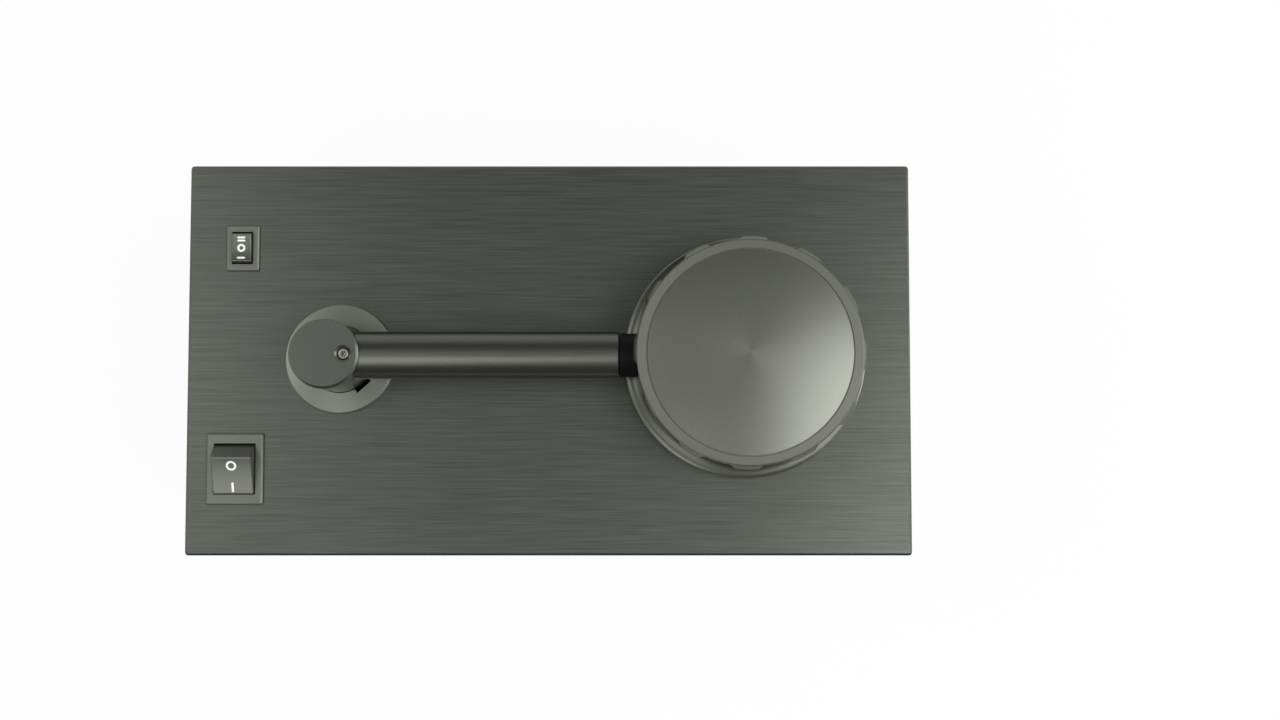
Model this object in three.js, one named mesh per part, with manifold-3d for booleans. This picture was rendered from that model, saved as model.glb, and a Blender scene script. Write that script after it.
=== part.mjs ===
// Vacuum record cleaning machine, in millimetres, +Z up.
// The origin is at bench level, in the middle of the space that the machine takes up.
// X runs from the arm towards the platter, Y from the front towards the back.

import * as THREE from 'three';
import { mergeVertices } from 'three/addons/utils/BufferGeometryUtils.js';
import Module from 'manifold-3d';

const wasm = await Module();
wasm.setup();

// Fits shared by all pieces
const gap = 0.3;                // between pieces that slide, turn or plug into each other

// Case
const caseLength = 324;
const caseDepth = 175;
const caseHeight = 190;         // without the feet
const sheet = 3;                // thickness of every panel
const edgeChamfer = 1;          // along the top plate's upper edge
const cornerRadius = 1.5;
const cornerLeg = 16;           // angle section in the four upright corners
const cornerWall = 2;
const footHeight = 10;
const footRadius = 11;
const footInset = 13;           // from the case's side to the middle of a foot
const footStemRadius = 2.8;
const footBarb = 1.1;           // how far a foot's head stands out past its stem
const footHeadHeight = 2;
const footBevel = 1;
const coolingSlots = 6;         // in the bottom plate, under the vacuum motor
const coolingSlotLength = 44;
const coolingSlotWidth = 3;
const coolingSlotPitch = 8;

// Suction arm, on the left
const armInset = 68.5;          // from the case's left side to the post's axis
const armX = armInset - caseLength / 2;
const flangeRadius = 24.5;
const flangeThickness = 2;
const sleeveRadius = 19.5;      // of the flange's neck, below the top plate
const sleeveFloor = 2;
const flangeNutWidth = 50;      // across its flats
const flangeNutHeight = 7;
const postRadius = 14.9;
const postTop = 40;             // above the top plate
const postBottom = -28;
const postAirBore = 6.5;
const chamberRadius = 17;       // wide part of the sleeve, in which the guide pin turns
const chamberTop = -17;
const chamberBottom = -44;
const keywayWidth = 8;
const keywayDepth = 1.5;
const keywayAngle = -48;        // degrees from the arm's working place
const guidePinRadius = 1.6;
const guidePinLength = 6;
const washerThickness = 1.7;
const springWire = 1.5;
const springTurns = 5;
const springRadius = 12.4;
const tubeAxis = 28;            // height of the arm tube above the top plate
const tubeRadius = 10.2;
const tubeWall = 1.7;
const tubeStart = 4.5;          // from the post's axis
const plugLength = 8.1;         // outside the tube
const plugRadius = 9.4;
const plugShank = 5;
const plugClearance = 2.3;      // between the plug and the clamp's waist
const slotStart = 34;
const slotMargin = 5.4;         // from the slot's far end to the tube's end
const slotWidth = 2;
const padThickness = 2.5;
const padInnerAngle = 7;        // degrees from straight down to a pad's inner edge
const padOuterAngle = 38;
const padOverrun = 2;           // past each end of the slot
const grubRadius = 2.4;
const grubX = 8.5;
const grubDepth = 24;
const grubSunk = 0.7;

// Platter and its bearing, on the right
const platterInset = 75.1;      // from the case's right side to the platter's axis
const platterX = caseLength / 2 - platterInset;
const platterRadius = 52;
const platterThickness = 5.5;
const matTop = 12;              // above the top plate
const matThickness = 2;
const matRadius = 50;
const matHole = 20;
const spindleRadius = 4;
const spindleTipRadius = 3.6;
const spindleTip = 17;          // above the mat
const shoulderRadius = 9;
const shoulderHeight = 2.2;
const bearingRadius = 11.2;
const bearingBottom = -20;
const bearingTop = 3;
const bearingFlangeRadius = 20;
const bearingFlangeHeight = 4;
const bushRadius = 6.2;
const bearingNutRadius = 17;
const bearingNutHeight = 2.8;

// Drive under the platter
const gearModule = 1.5;
const gearTeeth = 32;
const pinionTeeth = 14;
const gearWidth = 8;
const gearTop = -21;            // below the top plate
const toothRelief = 0.12;       // taken off each flank, for backlash
const meshSlack = 0.1;          // added to the distance between the two shafts
const motorPlateThickness = 2.5;
const motorPlateWidth = 48;
const pillarRadius = 2.5;
const pillarCircle = 18;
const gearboxRadius = 22;
const gearboxHeight = 20;
const gearboxTop = -32;
const driveMotorRadius = 17;
const driveMotorHeight = 28;
const driveMotorCap = 2;        // the rear bearing's cap
const pinionShaftRadius = 3;
const pinionShaftDepth = 10;    // of its end inside the gearbox

// Clamp
const clampFlangeRadius = 52.9;
const clampFlangeEdge = 1.4;
const clampUnderside = 0.5;     // above the mat, beside the seal
const clampWaist = 44.6;
const clampCove = 6.4;          // height of the sweep from the flange up to the waist
const clampRimBottom = 28;
const clampTop = 39;
const clampLands = 12;          // raised grips round the rim
const clampLandRadius = 48.9;
const clampScallopRadius = 47.7;
const clampLandAngle = 11;      // degrees across one land
const clampLandTurn = -2;       // degrees from the arm's line to the middle of the first land
const clampRimBevel = 1.2;
const domeRadius = 43;
const domeRise = 2.2;           // of its middle above the rim's face
const domeGroove = 0.6;         // width of the groove round it
const domeGrooveDepth = 0.8;
const sealInner = 44;
const sealOuter = 50;
const sealHeight = 1.2;
const insertRadius = 8;
const insertHeight = 18;

// Rockers
const smallSwitch = {
  x: 24.2 - caseLength / 2, y: caseDepth / 2 - 37.5, bezel: [15, 21], bezelHeight: 1.5, opening: [9.4, 14.5], body: [12.6, 18.6],
  depth: 15, cavity: 10, pivot: -1.2, crest: [6.25, 5.4], valley: 4.7, trunnion: 1.1, tilt: 0,
  blades: 3, blade: 3,
};
const largeSwitch = {
  x: 22.1 - caseLength / 2, y: 38.5 - caseDepth / 2, bezel: [25.5, 32], bezelHeight: 1.8, opening: [18.6, 22.6], body: [22, 29.4],
  depth: 20, cavity: 14, pivot: -1.6, crest: [8.75, 8.3], valley: 7.4, trunnion: 1.5, tilt: 21,
  blades: 2, blade: 4.8,
};
const rockerArcTop = 10;        // degrees above level where a rocker's round end starts
const rockerArcBottom = -40;
const bladeLength = 8;
const bladeThickness = 0.8;

// Waste tank
const tankSideClearance = 7;    // to the left panel
const tankFootClearance = 0.6;  // to the heads of the feet
const tankFanClearance = 6.5;   // to the fan housing
const tankHeadroom = 106;       // from the tank's top to the top plate, for the arm's sleeve and the hoses
const tankHeight = caseHeight - tankHeadroom;
const tankWall = 2.5;
const tankCorner = 10;
const lidThickness = 4;
const spigotRadius = 11;
const spigotWall = 2.5;
const spigotHeight = 10;
const outletInset = 13;         // from the tank's right side to the suction hose's spigot
const hoseWall = 2.7;
const hoseBend = 24;

// Vacuum motor and fan
const fanOffset = 11.9;         // to the left of the platter's axis
const fanX = platterX - fanOffset;
const mountRingHeight = 6;
const mountRingLip = 6;         // of its wall round the motor's foot
const mountRingRadius = 46;
const mountRingHole = 34;
const vacuumMotorRadius = 42;
const vacuumMotorNeck = 34;     // radius of the narrower part under the fan
const vacuumMotorShoulder = 2 / 3;  // share of its height up to which it has its full radius
const fanRadius = 65;
const fanHeadroom = 9.2;        // between the fan's cover and the drive motor
const fanHeight = 36;
const fanWall = 2;
const fanFloor = 2.5;
const hornInset = 35;           // from the fan's axis to the horn's inner side
const hornWidth = 28;
const hornHeight = 26;
const impellerRadius = 58;
const impellerDisc = 1.5;
const impellerBlades = 8;
const impellerBladeThickness = 1.5;
const impellerHeight = 24;
const impellerEye = 15;
const impellerShaft = 4;
const impellerShaftDepth = 10;  // of its end inside the vacuum motor

// Rear panel fittings
const inletOffset = 55;         // to the left of the fan's axis
const inletX = fanX - inletOffset;
const inletZ = 45;
const inletFlange = [48, 24];
const inletFlangeThickness = 3;
const inletBody = [27, 20];
const inletBodyDepth = 18;
const inletCavity = [24, 16.5];
const inletCavityDepth = 15;
const inletCavityCut = 5;
const inletPinLength = 10.5;
const inletPinSpacing = 7;
const inletTabLength = 7;
const grilleMargin = 8;         // past the hole that the grille covers
const grilleThickness = 2;
const grilleSlots = 6;
const grilleSlotHeight = 2.2;
const drainInset = 32;          // from the case's left side
const drainX = drainInset - caseLength / 2;
const drainZ = 24;
const drainRadius = 4;
const drainBore = 2.2;
const drainBarbRadius = 3.3;
const drainBarbTop = 46;
const drainCollarRadius = 8;
const tubeStandoff = 8;         // from the rear panel to the level tube's axis
const levelTubeRadius = 5;
const levelTubeBottom = 30;
const levelTubeTop = 118;
const clipHeight = 8;
const clipBottom = 102;
const clipWall = 2;
const clipMouth = 100;          // degrees of the clip's open side
const stopperLength = 10;
const stopperHead = 6;
const stopperHeadRadius = 6.5;

// Power board, on the front panel
const boardX = 10;
const boardHeadroom = 17;       // from the board's upper edge to the top plate
const boardLength = 84;
const boardHeight = 56;
const boardThickness = 1.6;
const boardStandoff = 6;
const boardStandoffRadius = 3;
const boardStandoffInset = 5;
const transformer = { x: -21, width: 30, height: 32, depth: 24 };
const terminals = { x: 30, width: 16, height: 40, depth: 10 };
const capacitors = { x: 8, z: [-14, 4], radius: 6, length: 20 };

// Mains loom
const loomRadius = 3;
const loomClearance = 7;        // from the walls and from the tank's lid

// Levels and faces that follow from the sizes above
const top = footHeight + caseHeight;
const ceiling = top - sheet;
const floor = footHeight + sheet;
const innerX = caseLength / 2 - sheet;
const innerY = caseDepth / 2 - sheet;
const rearFace = caseDepth / 2;
const clipRadius = levelTubeRadius + gap + clipWall;
const rearReach = tubeStandoff + stopperHeadRadius;
const footX = caseLength / 2 - footInset;
const footY = caseDepth / 2 - footInset;
const plugEnd = platterX - armX - clampWaist - plugClearance;
const tubeEnd = plugEnd - plugLength;
const slotEnd = tubeEnd - slotMargin;
const gearCentres = gearModule * (gearTeeth + pinionTeeth) / 2 + meshSlack;
const driveBottom = top + gearboxTop - gearboxHeight - driveMotorHeight - driveMotorCap;
const hornLeft = fanX + hornInset;
const fanTop = driveBottom - fanHeadroom;
const fanBottom = fanTop - fanFloor - fanHeight;
const vacuumMotorHeight = fanBottom - gap - mountRingHeight - floor;
const tankLeft = tankSideClearance - innerX;
const tankRight = fanX - fanRadius - tankFanClearance;
const tankDepth = 2 * (footY - footStemRadius - footBarb - tankFootClearance);
const lidTop = floor + tankHeight + lidThickness;
const outletX = tankRight - outletInset;
const hoseTop = Math.max(lidTop, fanTop) + spigotHeight + hoseBend;    // its level stretch
const hornBottom = fanBottom + (fanHeight - hornHeight) / 2;

const radians = (degrees) => degrees * Math.PI / 180;
const alongX = new THREE.Matrix4().makeBasis(
  new THREE.Vector3(0, 1, 0), new THREE.Vector3(0, 0, 1), new THREE.Vector3(1, 0, 0));
const alongY = new THREE.Matrix4().makeBasis(
  new THREE.Vector3(0, 0, 1), new THREE.Vector3(1, 0, 0), new THREE.Vector3(0, 1, 0));

// A three.js geometry as a solid that can be joined and cut.
function solid(geometry) {
  const bare = geometry.clone();
  for (const name of Object.keys(bare.attributes)) {
    if (name !== 'position') bare.deleteAttribute(name);
  }
  const merged = mergeVertices(bare, 1e-4);
  return new wasm.Manifold(new wasm.Mesh({
    numProp: 3,
    vertProperties: new Float32Array(merged.attributes.position.array),
    triVerts: new Uint32Array(merged.index.array),
  }));
}

// And back, for a THREE.Mesh.
function geometryOf(body) {
  const mesh = body.getMesh();
  const geometry = new THREE.BufferGeometry();
  geometry.setAttribute('position', new THREE.BufferAttribute(new Float32Array(mesh.vertProperties), 3));
  geometry.setIndex(new THREE.BufferAttribute(new Uint32Array(mesh.triVerts), 1));
  geometry.computeVertexNormals();
  return geometry;
}

// A turned piece round Z. The profile's points are [radius, height] and run up the outside.
function turned(profile, segments, matrix) {
  const points = profile.map(([r, z]) => new THREE.Vector2(r, z));
  const geometry = new THREE.LatheGeometry(points, segments);
  geometry.rotateX(Math.PI / 2);
  if (matrix) geometry.applyMatrix4(matrix);
  return solid(geometry);
}

function rod(radius, z0, z1, segments = 16, matrix = null) {
  return turned([[0, z0], [radius, z0], [radius, z1], [0, z1]], segments, matrix);
}

function ring(inner, outer, z0, z1, segments = 28, matrix = null) {
  const profile = [[inner, z0], [outer, z0], [outer, z1], [inner, z1], [inner, z0]];
  return turned(profile, segments, matrix);
}

function block(x0, x1, y0, y1, z0, z1) {
  const geometry = new THREE.BoxGeometry(x1 - x0, y1 - y0, z1 - z0);
  geometry.translate((x0 + x1) / 2, (y0 + y1) / 2, (z0 + z1) / 2);
  return solid(geometry);
}

function extruded(shape, z0, z1, curveSegments = 6, matrix = null) {
  const geometry = new THREE.ExtrudeGeometry(shape, { depth: z1 - z0, bevelEnabled: false, curveSegments });
  geometry.translate(0, 0, z0);
  if (matrix) geometry.applyMatrix4(matrix);
  return solid(geometry);
}

function roundedRectangle(width, depth, radius, x = 0, y = 0) {
  const right = x + width / 2;
  const left = x - width / 2;
  const back = y + depth / 2;
  const front = y - depth / 2;
  const shape = new THREE.Shape();
  shape.moveTo(left + radius, front);
  shape.lineTo(right - radius, front);
  shape.absarc(right - radius, front + radius, radius, -Math.PI / 2, 0, false);
  shape.lineTo(right, back - radius);
  shape.absarc(right - radius, back - radius, radius, 0, Math.PI / 2, false);
  shape.lineTo(left + radius, back);
  shape.absarc(left + radius, back - radius, radius, Math.PI / 2, Math.PI, false);
  shape.lineTo(left, front + radius);
  shape.absarc(left + radius, front + radius, radius, Math.PI, Math.PI * 1.5, false);
  return shape;
}

// A slab whose upper edge is chamfered all round.
function chamferedSlab(shape, z0, z1, chamfer, curveSegments = 4) {
  const geometry = new THREE.ExtrudeGeometry(shape, {
    depth: z1 - z0, bevelThickness: chamfer, bevelSize: chamfer, bevelOffset: -chamfer,
    bevelSegments: 1, curveSegments,
  });
  geometry.translate(0, 0, z0 - chamfer);
  geometry.computeBoundingBox();
  const { min, max } = geometry.boundingBox;
  const below = block(min.x - 1, max.x + 1, min.y - 1, max.y + 1, min.z - 1, z0);
  return solid(geometry).subtract(below);
}

// A hose or wire of round section along a smooth line through the points.
function piped(points, outer, inner, sides, steps) {
  const section = new THREE.Shape();
  section.absarc(0, 0, outer, 0, Math.PI * 2, false);
  if (inner > 0) {
    const bore = new THREE.Path();
    bore.absarc(0, 0, inner, 0, Math.PI * 2, true);
    section.holes.push(bore);
  }
  const line = points.getPoint ? points : new THREE.CatmullRomCurve3(
    points.map((p) => new THREE.Vector3(...p)), false, 'centripetal');
  return solid(new THREE.ExtrudeGeometry(section, {
    steps, curveSegments: sides / 2, bevelEnabled: false, extrudePath: line,
  }));
}

function finish(color, roughness, metalness) {
  return new THREE.MeshStandardMaterial({ color, roughness, metalness });
}

const brushedPanel = () => finish(0x5c5e5a, 0.45, 0.7);
const satinBlack = () => finish(0x3c3d3a, 0.4, 0.6);
const satinGrey = () => finish(0x86877f, 0.42, 0.7);
const brightSteel = () => finish(0xb5b6b2, 0.3, 1.0);
const brass = () => finish(0xb08d45, 0.35, 1.0);
const blackPlastic = () => finish(0x1b1c1c, 0.5, 0.0);
const greyPlastic = () => finish(0x6a6c68, 0.5, 0.0);
const blackRubber = () => finish(0x141414, 0.85, 0.0);

function add(group, name, body, material) {
  const mesh = new THREE.Mesh(geometryOf(body), material);
  mesh.name = name;
  group.add(mesh);
  return mesh;
}

function groupAt(parent, x, y, z) {
  const group = new THREE.Group();
  group.position.set(x, y, z);
  parent.add(group);
  return group;
}

const machine = new THREE.Group();

// Case: six flat panels, four angle posts inside the corners and four push-in feet
const footPlaces = [
  [1, 1, 'rear_right'], [-1, 1, 'rear_left'], [1, -1, 'front_right'], [-1, -1, 'front_left'],
];

function switchCutout(spec) {
  const [width, depth] = spec.body;
  return block(
    spec.x - width / 2 - gap, spec.x + width / 2 + gap,
    spec.y - depth / 2 - gap, spec.y + depth / 2 + gap, ceiling - 1, top + 1);
}

function topPlate() {
  const outline = roundedRectangle(caseLength, caseDepth, cornerRadius);
  return chamferedSlab(outline, ceiling, top, edgeChamfer)
    .subtract(rod(sleeveRadius + gap, ceiling - 1, top + 1, 32).translate([armX, 0, 0]))
    .subtract(rod(bearingRadius + gap, ceiling - 1, top + 1, 20).translate([platterX, 0, 0]))
    .subtract(switchCutout(smallSwitch))
    .subtract(switchCutout(largeSwitch));
}

function bottomPlate() {
  let plate = block(-innerX, innerX, -innerY, innerY, footHeight, floor);
  for (const [sideX, sideY] of footPlaces) {
    plate = plate.subtract(
      rod(footStemRadius + gap, footHeight - 1, floor + 1, 12).translate([sideX * footX, sideY * footY, 0]));
  }
  for (let i = 0; i < coolingSlots; i += 1) {
    const y = (i - (coolingSlots - 1) / 2) * coolingSlotPitch;
    plate = plate.subtract(block(
      fanX - coolingSlotLength / 2, fanX + coolingSlotLength / 2,
      y - coolingSlotWidth / 2, y + coolingSlotWidth / 2, footHeight - 1, floor + 1));
  }
  return plate;
}

const exhaustHole = {
  x0: hornLeft + fanWall, x1: hornLeft + hornWidth - fanWall,
  z0: hornBottom + fanWall, z1: hornBottom + hornHeight - fanWall,
};

function rearPanel() {
  const [width, height] = inletBody;
  return block(-caseLength / 2, caseLength / 2, innerY, rearFace, footHeight, ceiling)
    .subtract(block(
      inletX - width / 2 - gap, inletX + width / 2 + gap, innerY - 1, rearFace + 1,
      inletZ - height / 2 - gap, inletZ + height / 2 + gap))
    .subtract(block(
      exhaustHole.x0, exhaustHole.x1, innerY - 1, rearFace + 1, exhaustHole.z0, exhaustHole.z1))
    .subtract(rod(drainRadius + gap, innerY - 1, rearFace + 1, 16, alongY).translate([drainX, 0, drainZ]));
}

function cornerPost() {
  const shape = new THREE.Shape();
  shape.moveTo(0, 0);
  shape.lineTo(-cornerLeg, 0);
  shape.lineTo(-cornerLeg, -cornerWall);
  shape.lineTo(-cornerWall * 2, -cornerWall);
  shape.absarc(-cornerWall * 2, -cornerWall * 2, cornerWall, Math.PI / 2, 0, true);
  shape.lineTo(-cornerWall, -cornerLeg);
  shape.lineTo(0, -cornerLeg);
  shape.closePath();
  return extruded(shape, floor, ceiling, 3);
}

function foot() {
  const head = footStemRadius + footBarb;
  return turned([
    [0, 0], [footRadius - 2 * footBevel, 0], [footRadius - footBevel, footBevel], [footRadius, footHeight],
    [footStemRadius, footHeight], [footStemRadius, floor + gap], [head, floor + gap],
    [head - footBevel, floor + gap + footHeadHeight], [0, floor + gap + footHeadHeight],
  ], 12);
}

const housing = groupAt(machine, 0, 0, 0);
add(housing, 'top_plate', topPlate(), brushedPanel());
add(housing, 'bottom_plate', bottomPlate(), brushedPanel());
add(housing, 'front_panel', block(
  -caseLength / 2, caseLength / 2, -rearFace, -innerY, footHeight, ceiling), brushedPanel());
add(housing, 'rear_panel', rearPanel(), brushedPanel());
add(housing, 'left_panel', block(
  -caseLength / 2, -innerX, -innerY, innerY, footHeight, ceiling), brushedPanel());
add(housing, 'right_panel', block(
  innerX, caseLength / 2, -innerY, innerY, footHeight, ceiling), brushedPanel());
for (const [sideX, sideY, place] of footPlaces) {
  const upright = add(housing, `corner_post_${place}`, cornerPost(), brightSteel());
  upright.position.set(sideX * innerX, sideY * innerY, 0);
  const quarter = { '1,1': 0, '-1,1': 90, '-1,-1': 180, '1,-1': 270 }[`${sideX},${sideY}`];
  upright.rotation.z = radians(quarter);
  const rubber = add(housing, `foot_${place}`, foot(), blackRubber());
  rubber.position.set(sideX * footX, sideY * footY, 0);
}

// Arm: a flanged sleeve in the top plate, a post that turns and sinks in it, and the suction tube.
// Heights in this group are measured from the top plate's face.
const arm = groupAt(machine, armX, 0, top);
const sleeveBottom = chamberBottom - sleeveFloor;

function armFlange() {
  const bore = postRadius + gap;
  const air = spigotRadius - spigotWall;
  const sleeve = turned([
    [0, sleeveBottom - spigotHeight], [spigotRadius, sleeveBottom - spigotHeight],
    [spigotRadius, sleeveBottom], [sleeveRadius, sleeveBottom], [sleeveRadius, 0], [flangeRadius, 0],
    [flangeRadius, flangeThickness - 0.6], [flangeRadius - 0.6, flangeThickness], [0, flangeThickness],
  ], 32);
  const keyway = block(0, bore + keywayDepth, -keywayWidth / 2, keywayWidth / 2, chamberTop - 1,
    flangeThickness + 1);
  return sleeve
    .subtract(rod(bore, chamberTop - 1, flangeThickness + 1, 32))
    .subtract(rod(chamberRadius, chamberBottom, chamberTop, 24))
    .subtract(rod(air, sleeveBottom - spigotHeight - 1, chamberBottom + 1, 16))
    .subtract(keyway.rotate([0, 0, keywayAngle]));
}

function flangeNut() {
  const corner = flangeNutWidth / 2 / Math.cos(Math.PI / 6);
  return rod(corner, -sheet - flangeNutHeight, -sheet, 6)
    .subtract(rod(sleeveRadius + gap, -sheet - flangeNutHeight - 1, -sheet + 1, 32));
}

function armPost() {
  const body = turned([
    [0, postBottom], [postRadius - 0.6, postBottom], [postRadius, postBottom + 0.6],
    [postRadius, postTop - 1], [postRadius - 1, postTop], [0, postTop],
  ], 32);
  const mouth = turned([
    [0, postTop - 1], [grubRadius + gap, postTop - 1], [grubRadius + gap + 1.2, postTop + 0.2],
    [0, postTop + 0.2],
  ], 16).translate([grubX, 0, 0]);
  return body
    .subtract(rod(postAirBore, postBottom - 1, tubeAxis + postAirBore, 16))
    .subtract(rod(tubeRadius + gap, tubeStart - gap, postRadius + 1, 28, alongX).translate([0, 0, tubeAxis]))
    .subtract(rod(grubRadius + gap, postTop - grubSunk - grubDepth - gap, postTop + 1, 16)
      .translate([grubX, 0, 0]))
    .subtract(mouth)
    .subtract(rod(guidePinRadius + gap, pinStart - gap, postRadius + 1, 12, alongX)
      .rotate([0, 0, 180]).translate([0, 0, pinHeight]));
}

const pinEnd = chamberRadius - 0.5;
const pinStart = pinEnd - guidePinLength;
const pinHeight = chamberTop - gap - guidePinRadius;

class Helix extends THREE.Curve {
  constructor(radius, z0, z1, turns) {
    super();
    Object.assign(this, { radius, z0, z1, turns });
  }

  getPoint(t, target = new THREE.Vector3()) {
    const angle = t * this.turns * Math.PI * 2;
    return target.set(
      this.radius * Math.cos(angle), this.radius * Math.sin(angle), this.z0 + t * (this.z1 - this.z0));
  }
}

function liftSpring() {
  const z0 = chamberBottom + gap + springWire / 2;
  const z1 = postBottom - gap - washerThickness - gap - springWire / 2;
  const path = new Helix(springRadius, z0, z1, springTurns);
  return piped(path, springWire / 2, 0, 6, springTurns * 7);
}

function armTube() {
  const inner = tubeRadius - tubeWall;
  const profile = [
    [inner, tubeStart], [tubeRadius, tubeStart], [tubeRadius, tubeEnd - 0.5], [tubeRadius - 0.5, tubeEnd],
    [inner, tubeEnd], [inner, tubeStart],
  ];
  return turned(profile, 32, alongX)
    .subtract(block(slotStart, slotEnd, -slotWidth / 2, slotWidth / 2, -tubeRadius - 1, 0))
    .subtract(rod(grubRadius + gap, -tubeRadius - 1, tubeRadius + 1, 16).translate([grubX, 0, 0]))
    .translate([0, 0, tubeAxis]);
}

function endPlug() {
  const shank = tubeRadius - tubeWall - gap;
  return turned([
    [0, tubeEnd - plugShank], [shank, tubeEnd - plugShank], [shank, tubeEnd + gap],
    [plugRadius, tubeEnd + gap], [plugRadius, plugEnd - 1], [plugRadius - 1, plugEnd], [0, plugEnd],
  ], 28, alongX).translate([0, 0, tubeAxis]);
}

// One velvet strip under the tube, beside the slot: side is 1 for the rear one, -1 for the front one.
function pad(side) {
  const inner = tubeRadius + gap;
  const outer = inner + padThickness;
  const from = -Math.PI / 2 + side * radians(padInnerAngle);
  const to = -Math.PI / 2 + side * radians(padOuterAngle);
  const [low, high] = side > 0 ? [from, to] : [to, from];
  const shape = new THREE.Shape();
  shape.absarc(0, 0, outer, low, high, false);
  shape.absarc(0, 0, inner, high, low, true);
  shape.closePath();
  return extruded(shape, slotStart - padOverrun, slotEnd + padOverrun, 6, alongX)
    .translate([0, 0, tubeAxis]);
}

function grubScrew() {
  const screwTop = postTop - grubSunk;
  return turned([
    [0, screwTop - grubDepth], [grubRadius - 0.6, screwTop - grubDepth],
    [grubRadius, screwTop - grubDepth + 0.6], [grubRadius, screwTop - 0.4],
    [grubRadius - 0.4, screwTop], [0, screwTop],
  ], 16).subtract(rod(1.25, screwTop - 2, screwTop + 1, 6)).translate([grubX, 0, 0]);
}

add(arm, 'arm_flange', armFlange(), satinGrey());
add(arm, 'flange_nut', flangeNut(), brightSteel());
add(arm, 'lift_spring', liftSpring(), brightSteel());
add(arm, 'thrust_washer', ring(
  postAirBore + 2, chamberRadius - 1, postBottom - gap - washerThickness, postBottom - gap, 24), greyPlastic());
add(arm, 'arm_post', armPost(), satinBlack());
add(arm, 'guide_pin', rod(guidePinRadius, pinStart, pinEnd, 12, alongX)
  .rotate([0, 0, 180]).translate([0, 0, pinHeight]), brightSteel());
add(arm, 'set_screw', grubScrew(), brightSteel());
add(arm, 'arm_tube', armTube(), satinBlack());
add(arm, 'end_plug', endPlug(), blackPlastic());
add(arm, 'pad_rear', pad(1), blackRubber());
add(arm, 'pad_front', pad(-1), blackRubber());

// Platter, spindle and bearing. Heights in this group are measured from the top plate's face.
const platterGroup = groupAt(machine, platterX, 0, top);
const platterTop = matTop - matThickness;
const platterBottom = platterTop - platterThickness;
const gearBottom = gearTop - gearWidth;
const shoulderTop = platterBottom + 1.5;

function platter() {
  return turned([
    [0, platterBottom], [platterRadius - 1, platterBottom], [platterRadius, platterBottom + 1],
    [platterRadius, platterTop - 0.6], [platterRadius - 0.6, platterTop], [0, platterTop],
  ], 40)
    .subtract(rod(spindleTipRadius + gap, platterBottom - 1, platterTop + 1, 16))
    .subtract(rod(shoulderRadius + gap, platterBottom - 1, shoulderTop + gap, 20));
}

function spindle() {
  const tip = matTop + spindleTip;
  return turned([
    [0, gearBottom - 1], [spindleRadius - 0.5, gearBottom - 1], [spindleRadius, gearBottom - 0.5],
    [spindleRadius, shoulderTop - shoulderHeight], [shoulderRadius, shoulderTop - shoulderHeight],
    [shoulderRadius, shoulderTop], [spindleTipRadius, shoulderTop], [spindleTipRadius, tip - 1],
    [spindleTipRadius - 1, tip], [0, tip],
  ], 16);
}

function bearingHousing() {
  const flangeTop = -sheet - motorPlateThickness;
  return turned([
    [0, bearingBottom], [bearingRadius, bearingBottom], [bearingRadius, flangeTop - bearingFlangeHeight],
    [bearingFlangeRadius, flangeTop - bearingFlangeHeight], [bearingFlangeRadius, flangeTop],
    [bearingRadius, flangeTop], [bearingRadius, bearingTop], [0, bearingTop],
  ], 24).subtract(rod(bushRadius + gap, bearingBottom - 1, bearingTop + 1, 20));
}

// Involute spur gear: each tooth has a root, a pitch and a tip point on both flanks.
function spurGear(teeth, z0, z1, turn) {
  const pitch = gearModule * teeth / 2;
  const tip = pitch + gearModule;
  const root = pitch - 1.25 * gearModule;
  const base = pitch * Math.cos(radians(20));
  const involute = (r) => {
    const pressure = Math.acos(Math.min(1, base / r));
    return Math.tan(pressure) - pressure;
  };
  const half = Math.PI / 2 / teeth + involute(pitch) - toothRelief / pitch;
  const radii = [root, tip];
  const outline = [];
  for (let i = 0; i < teeth; i += 1) {
    const middle = turn + i * Math.PI * 2 / teeth;
    for (const r of radii) outline.push([r, middle - half + involute(Math.max(r, base))]);
    for (const r of radii.slice().reverse()) outline.push([r, middle + half - involute(Math.max(r, base))]);
  }
  const shape = new THREE.Shape(outline.map(([r, a]) => new THREE.Vector2(r * Math.cos(a), r * Math.sin(a))));
  return extruded(shape, z0, z1);
}

function driveGear() {
  let gear = spurGear(gearTeeth, gearBottom, gearTop, 0)
    .add(rod(spindleRadius + 5, gearTop - 1, bearingBottom - gap, 16))
    .subtract(rod(spindleRadius + gap, gearBottom - 1, bearingBottom + 1, 16));
  for (let i = 0; i < 5; i += 1) {
    const hole = rod(3.6, gearBottom - 1, gearTop + 1, 8).translate([15.5, 0, 0]);
    gear = gear.subtract(hole.rotate([0, 0, i * 72]));
  }
  return gear;
}

add(platterGroup, 'platter', platter(), satinBlack());
add(platterGroup, 'platter_mat', ring(matHole, matRadius, platterTop, matTop, 40), blackRubber());
add(platterGroup, 'spindle', spindle(), brightSteel());
add(platterGroup, 'bearing_housing', bearingHousing(), brightSteel());
add(platterGroup, 'bearing_bush', ring(
  spindleRadius + gap, bushRadius, bearingBottom + gap, bearingTop, 20), brass());
add(platterGroup, 'bearing_nut', ring(
  bearingRadius + gap, bearingNutRadius, 0, bearingNutHeight, 28), brightSteel());
add(platterGroup, 'drive_gear', driveGear(), greyPlastic());

// Drive: a steel plate clamped by the bearing's flange carries the gearbox and its motor
const drive = groupAt(machine, platterX + gearCentres, 0, top);

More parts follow.
